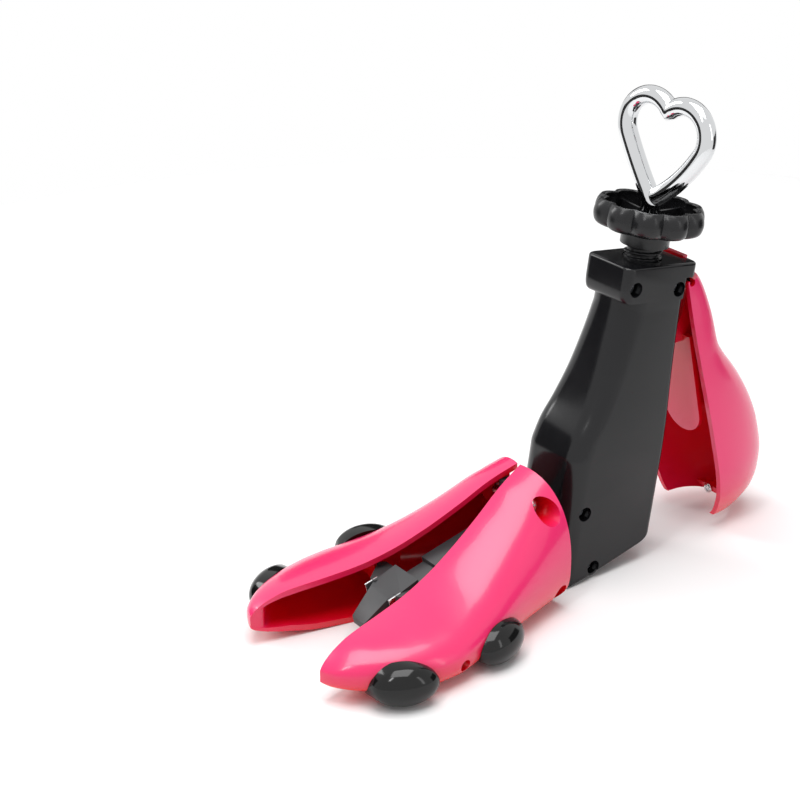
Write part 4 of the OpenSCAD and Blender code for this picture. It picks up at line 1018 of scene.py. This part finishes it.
def make_pad(name, u, z, tilt):
    turn, centre = plan_turn(u), shell_skin(u, z)

    def back(k, a):
        v, up = u - k * PAD_L / 2 * cos(a) * cos(turn), k * PAD_W / 2 * sin(a) * cos(tilt)
        x, y, height = shell_skin(v, z + up)
        return (max(x + 0.2, shell_skin(v, z)[0] - 3.2 - up * tan(tilt)), y, height)

    def front(b, a):
        along, up, rise = cos(b) * PAD_L / 2 * cos(a), cos(b) * PAD_W / 2 * sin(a), PAD_T * sin(b)
        out = rise * cos(tilt) - up * sin(tilt)
        return (centre[0] + out * cos(turn) - along * sin(turn),
                centre[1] + out * sin(turn) + along * cos(turn), z + up * cos(tilt) + rise * sin(tilt))

    rows = [[back(k, a) for a in around(64)] for k in (0.15, 0.35, 0.55, 0.75, 0.9, 1.0)]
    rows += [[front(radians(b), a) for a in around(64)] for b in (12, 20, 30, 40, 50, 60, 70, 78, 84, 88)]
    pad = loft(name, rows, ON_TOE)
    return join(pad, rod("plug", 2.44, -3.5, 1.5, on_pad(u, z, tilt), 40))


for side, called, place, pad_at in (
        ("left", "left", "front", FRONT_PAD), ("left", "left", "rear", NEAR_PAD),
        ("right", "far", "front", FRONT_PAD), ("right", "far", "rear", FAR_PAD)):
    pad = make_pad(f"relief_pad_{called}_{place}", *pad_at)
    if side == "right":
        mirrored(pad)
    finish(pad, f"toe_{side}", PAD_BLACK, [f"pad_{side}_{place}"], 60)

# %% [markdown]
# Each toe shell hangs on two screws. Under the head of the upper one sits a short spring, which lets
# the shell give and pulls it back. The spring is a wire swept along a helix, with the same sweep as
# the heart handle.

# %% Toe screws and springs
HEAD_X, LOW_HEAD_X = 13.4, 8.7
UPPER_AT, LOWER_AT = (APEX_Y - 7.9, 44.2), (APEX_Y - 6.3, 8.0)


def screw_pair(name, at, head_x, head_r):
    left, right = [cross_screw(f"{name}_{side}", sideways(*at, x=head_x), head_r, 1.7, 1.3, 0.5 - head_x)
                   for side in ("left", "right")]
    return together(name, [left, mirrored(right)])


for height, at, head_x, head_r in (("upper", UPPER_AT, HEAD_X, 3.15), ("lower", LOWER_AT, LOW_HEAD_X, 2.35)):
    pair = screw_pair(height + "_screws", at, head_x, head_r)
    finish(pair, "body", PLATED, ["toe_screws_" + height], 35)

SPRING_FROM, SPRING_TO, SPRING_R, WIRE_R, CURLS = 9.2, 13.1, 2.9, 0.3, 4.0


def make_spring(name):
    count = int(CURLS * 28)
    path = []
    for i in range(count + 1):
        s, a = i / count, 2 * pi * CURLS * i / count
        path.append((SPRING_FROM + (SPRING_TO - SPRING_FROM) * s, UPPER_AT[0] + SPRING_R * cos(a),
                     UPPER_AT[1] + SPRING_R * sin(a)))
    return sweep(name, path, lambda i: WIRE_R, Matrix.Identity(4), 10)


finish(make_spring("pocket_spring_left"), "body", STEEL, ["toe_spring_left"], 60)
finish(mirrored(make_spring("pocket_spring_right")), "body", STEEL, ["toe_spring_right"], 60)

# %% [markdown]
# Between the toe shells lies the width drive: a bar from the body and the wedge that slides on it.
# Both are plain machined forms in greyish black, with small bevels. Thin bright plates sit on the
# wedge's shoulders, and their edges catch the light in the photograph.

# %% Arm and wedge
def plates():
    return [block("plate", (x, 1, 116.7), (x + 0.7, 7.9, 122.9), ON_SCREW) for x in (-8.2, 7.5)]


def make_arm():
    arm = block("toe_bar", (-5.5, -6.5, 28), (5.5, 6.5, 96), ON_SCREW)
    tip = block("tip", (-4.7, -6.5, 95), (4.7, 4.5, 110.5), ON_SCREW)
    root = rod("root", 7.0, 13, 29, ON_SCREW)
    flange = block("flange", (-8.2, -6.05, 22), (8.2, -2.05, 49), LEANING)
    lug = prism("lug", [(-24, 5), (-24, 50), (-16, 50), (-6.4, 36), (-8.6, 8), (-12, 5)], -3.5, 3.5, FROM_SIDE)
    join(arm, tip, root, flange, lug)
    cut(arm, rod("screw_way", 2.6, 12, 112, ON_SCREW, 40), rod("bush_way", 4.0, 12, 21, ON_SCREW, 48),
        block("nut_way", (-3.4, -7.5, 84), (3.4, 3.2, 112), ON_SCREW))
    return rounded(arm, 0.5, 40)


def make_wedge():
    side = [(107.5, -8.5), (107.5, 8.5), (121.7, 7), (133.7, 0.8), (133.7, -3), (123, -8.5)]
    plan = [(107.5, 7.5), (118.7, 7.5), (121.7, 6), (133.7, 4)]
    plan += [(a, -b) for a, b in plan[::-1]]
    wedge = prism("wedge_block", side, -10, 10, ON_SCREW @ Matrix.Rotation(-pi / 2, 4, "Y"))
    from_top = ON_SCREW @ Matrix.Rotation(pi / 2, 4, "X") @ Matrix.Rotation(pi / 2, 4, "Z")
    keep(wedge, prism("plan", plan, -20, 20, from_top))
    wing = [(6.4, -72), (16.1, -72), (WING_X, WING_Y), (9.2, -85), (6.4, -85)]
    wings = [prism("wing", [(s * x, y) for x, y in wing], 12, 22) for s in (1, -1)]
    nut_box = block("nut_box", (-3, -8.5, 99), (3, -6.8, 111), ON_SCREW)
    join(wedge, nut_box, *wings)
    cut(wedge, block("bar_way", (-5.9, -6.8, 106.5), (5.9, 6.9, 110.6), ON_SCREW),
        block("tip_way", (-5.05, -6.8, 107.5), (5.05, 4.85, 125), ON_SCREW))
    return rounded(cut(wedge, *plates()), 0.35, 40)


finish(make_arm(), "body", INNER_BLACK, ["toe_arm"], 35)
finish(make_wedge(), "wedge", INNER_BLACK, ["wedge"], 30)
plate_pair = rounded(together("wedge_plate_pair", plates()), 0.12, 40)
finish(plate_pair, "wedge", PLATED, ["wedge_plates"], 30)

# %% [markdown]
# The studio is plain: a pale floor, one large soft lamp above, one high on the left and weak fills.
# The camera and mirror-like surfaces see white where nothing stands. Bright metal needs something
# dark to mirror as well, so a few dark cards stand outside the view, and only reflections see them.

# %% Floor, lamps and cards
def matt(piece, name, shade, rough):
    material, tree, shader = start_material(name)
    feed(tree, shader, {"Base Color": (shade, shade, shade), "Roughness": rough})
    piece.data.materials.append(material)


def aimed(made, place, at):
    made.location = place
    made.rotation_euler = (Vector(at) - Vector(place)).to_track_quat("-Z", "Y").to_euler()
    return made


def area_lamp(name, place, at, size, watts, size_y=None):
    lamp = bpy.data.lights.new(name, "AREA")
    lamp.energy = watts
    lamp.size = size
    if size_y:
        lamp.shape = "RECTANGLE"
        lamp.size_y = size_y
    made = bpy.data.objects.new(name, lamp)
    bpy.context.collection.objects.link(made)
    return aimed(made, place, at)


def dark_card(name, place, at, width, height):
    card = aimed(block(name, (-width / 2, -height / 2, -2), (width / 2, height / 2, 0)), place, at)
    card.visible_camera = card.visible_diffuse = card.visible_shadow = False
    matt(card, name, 0.02, 0.9)


matt(rod("floor", 560, -1, 0, sides=96), "pale_floor", 0.93, 0.7)
area_lamp("top_soft", (0.1, -0.1, 1.3), (0, 0, 0.05), 0.9, 13)
area_lamp("left_high", (-0.85, -0.42, 0.68), (0, 0, 0.08), 0.3, 4.0, 0.6)
area_lamp("window", (0.26, -0.70, 0.95), (0, -0.03, 0.08), 0.12, 1.6, 0.34)
area_lamp("right_side", (1.15, 0.35, 0.6), (0, 0, 0.08), 0.14, 1.2, 0.9)
area_lamp("left_front", (-0.75, -0.95, 0.75), (0, 0, 0.08), 0.7, 2.0, 0.9).visible_glossy = False
dark_card("card_behind", (-0.8, 0.72, 0.28), (0, 0.03, 0.15), 1000, 420)
dark_card("card_right_back", (0.22, 0.39, 0.10), (0, 0.03, 0.10), 330, 200)
dark_card("card_left_front", (-0.27, -0.30, 0.10), (0, 0.03, 0.10), 280, 200)

# %% [markdown]
# The world lights from all sides. The Light Path node tells which kind of ray asks: the camera, a
# mirror-like surface or a clear one is shown plain white, and all other rays get a dimmer light, so
# that the soft shadows stay.

# %% World
world = bpy.data.worlds.new("studio_air")
bpy.context.scene.world = world
world.use_nodes = True
air = world.node_tree
air.nodes.clear()
seen = node(air, "ShaderNodeLightPath")
dim, white = [feed(air, node(air, "ShaderNodeBackground"), {"Color": (1, 1, 1), "Strength": strength})
              for strength in (0.42, 1.0)]
mirrored_or_clear = combine(air, "MAXIMUM", seen.outputs["Is Glossy Ray"], seen.outputs["Is Transmission Ray"])
white_for = combine(air, "MAXIMUM", seen.outputs["Is Camera Ray"], mirrored_or_clear)
which = feed(air, node(air, "ShaderNodeMixShader"), {0: white_for, 1: dim.outputs[0], 2: white.outputs[0]})
feed(air, node(air, "ShaderNodeOutputWorld"), {"Surface": which.outputs[0]})
bpy.context.scene.view_settings.view_transform = "Standard"
print("world:", world.name)
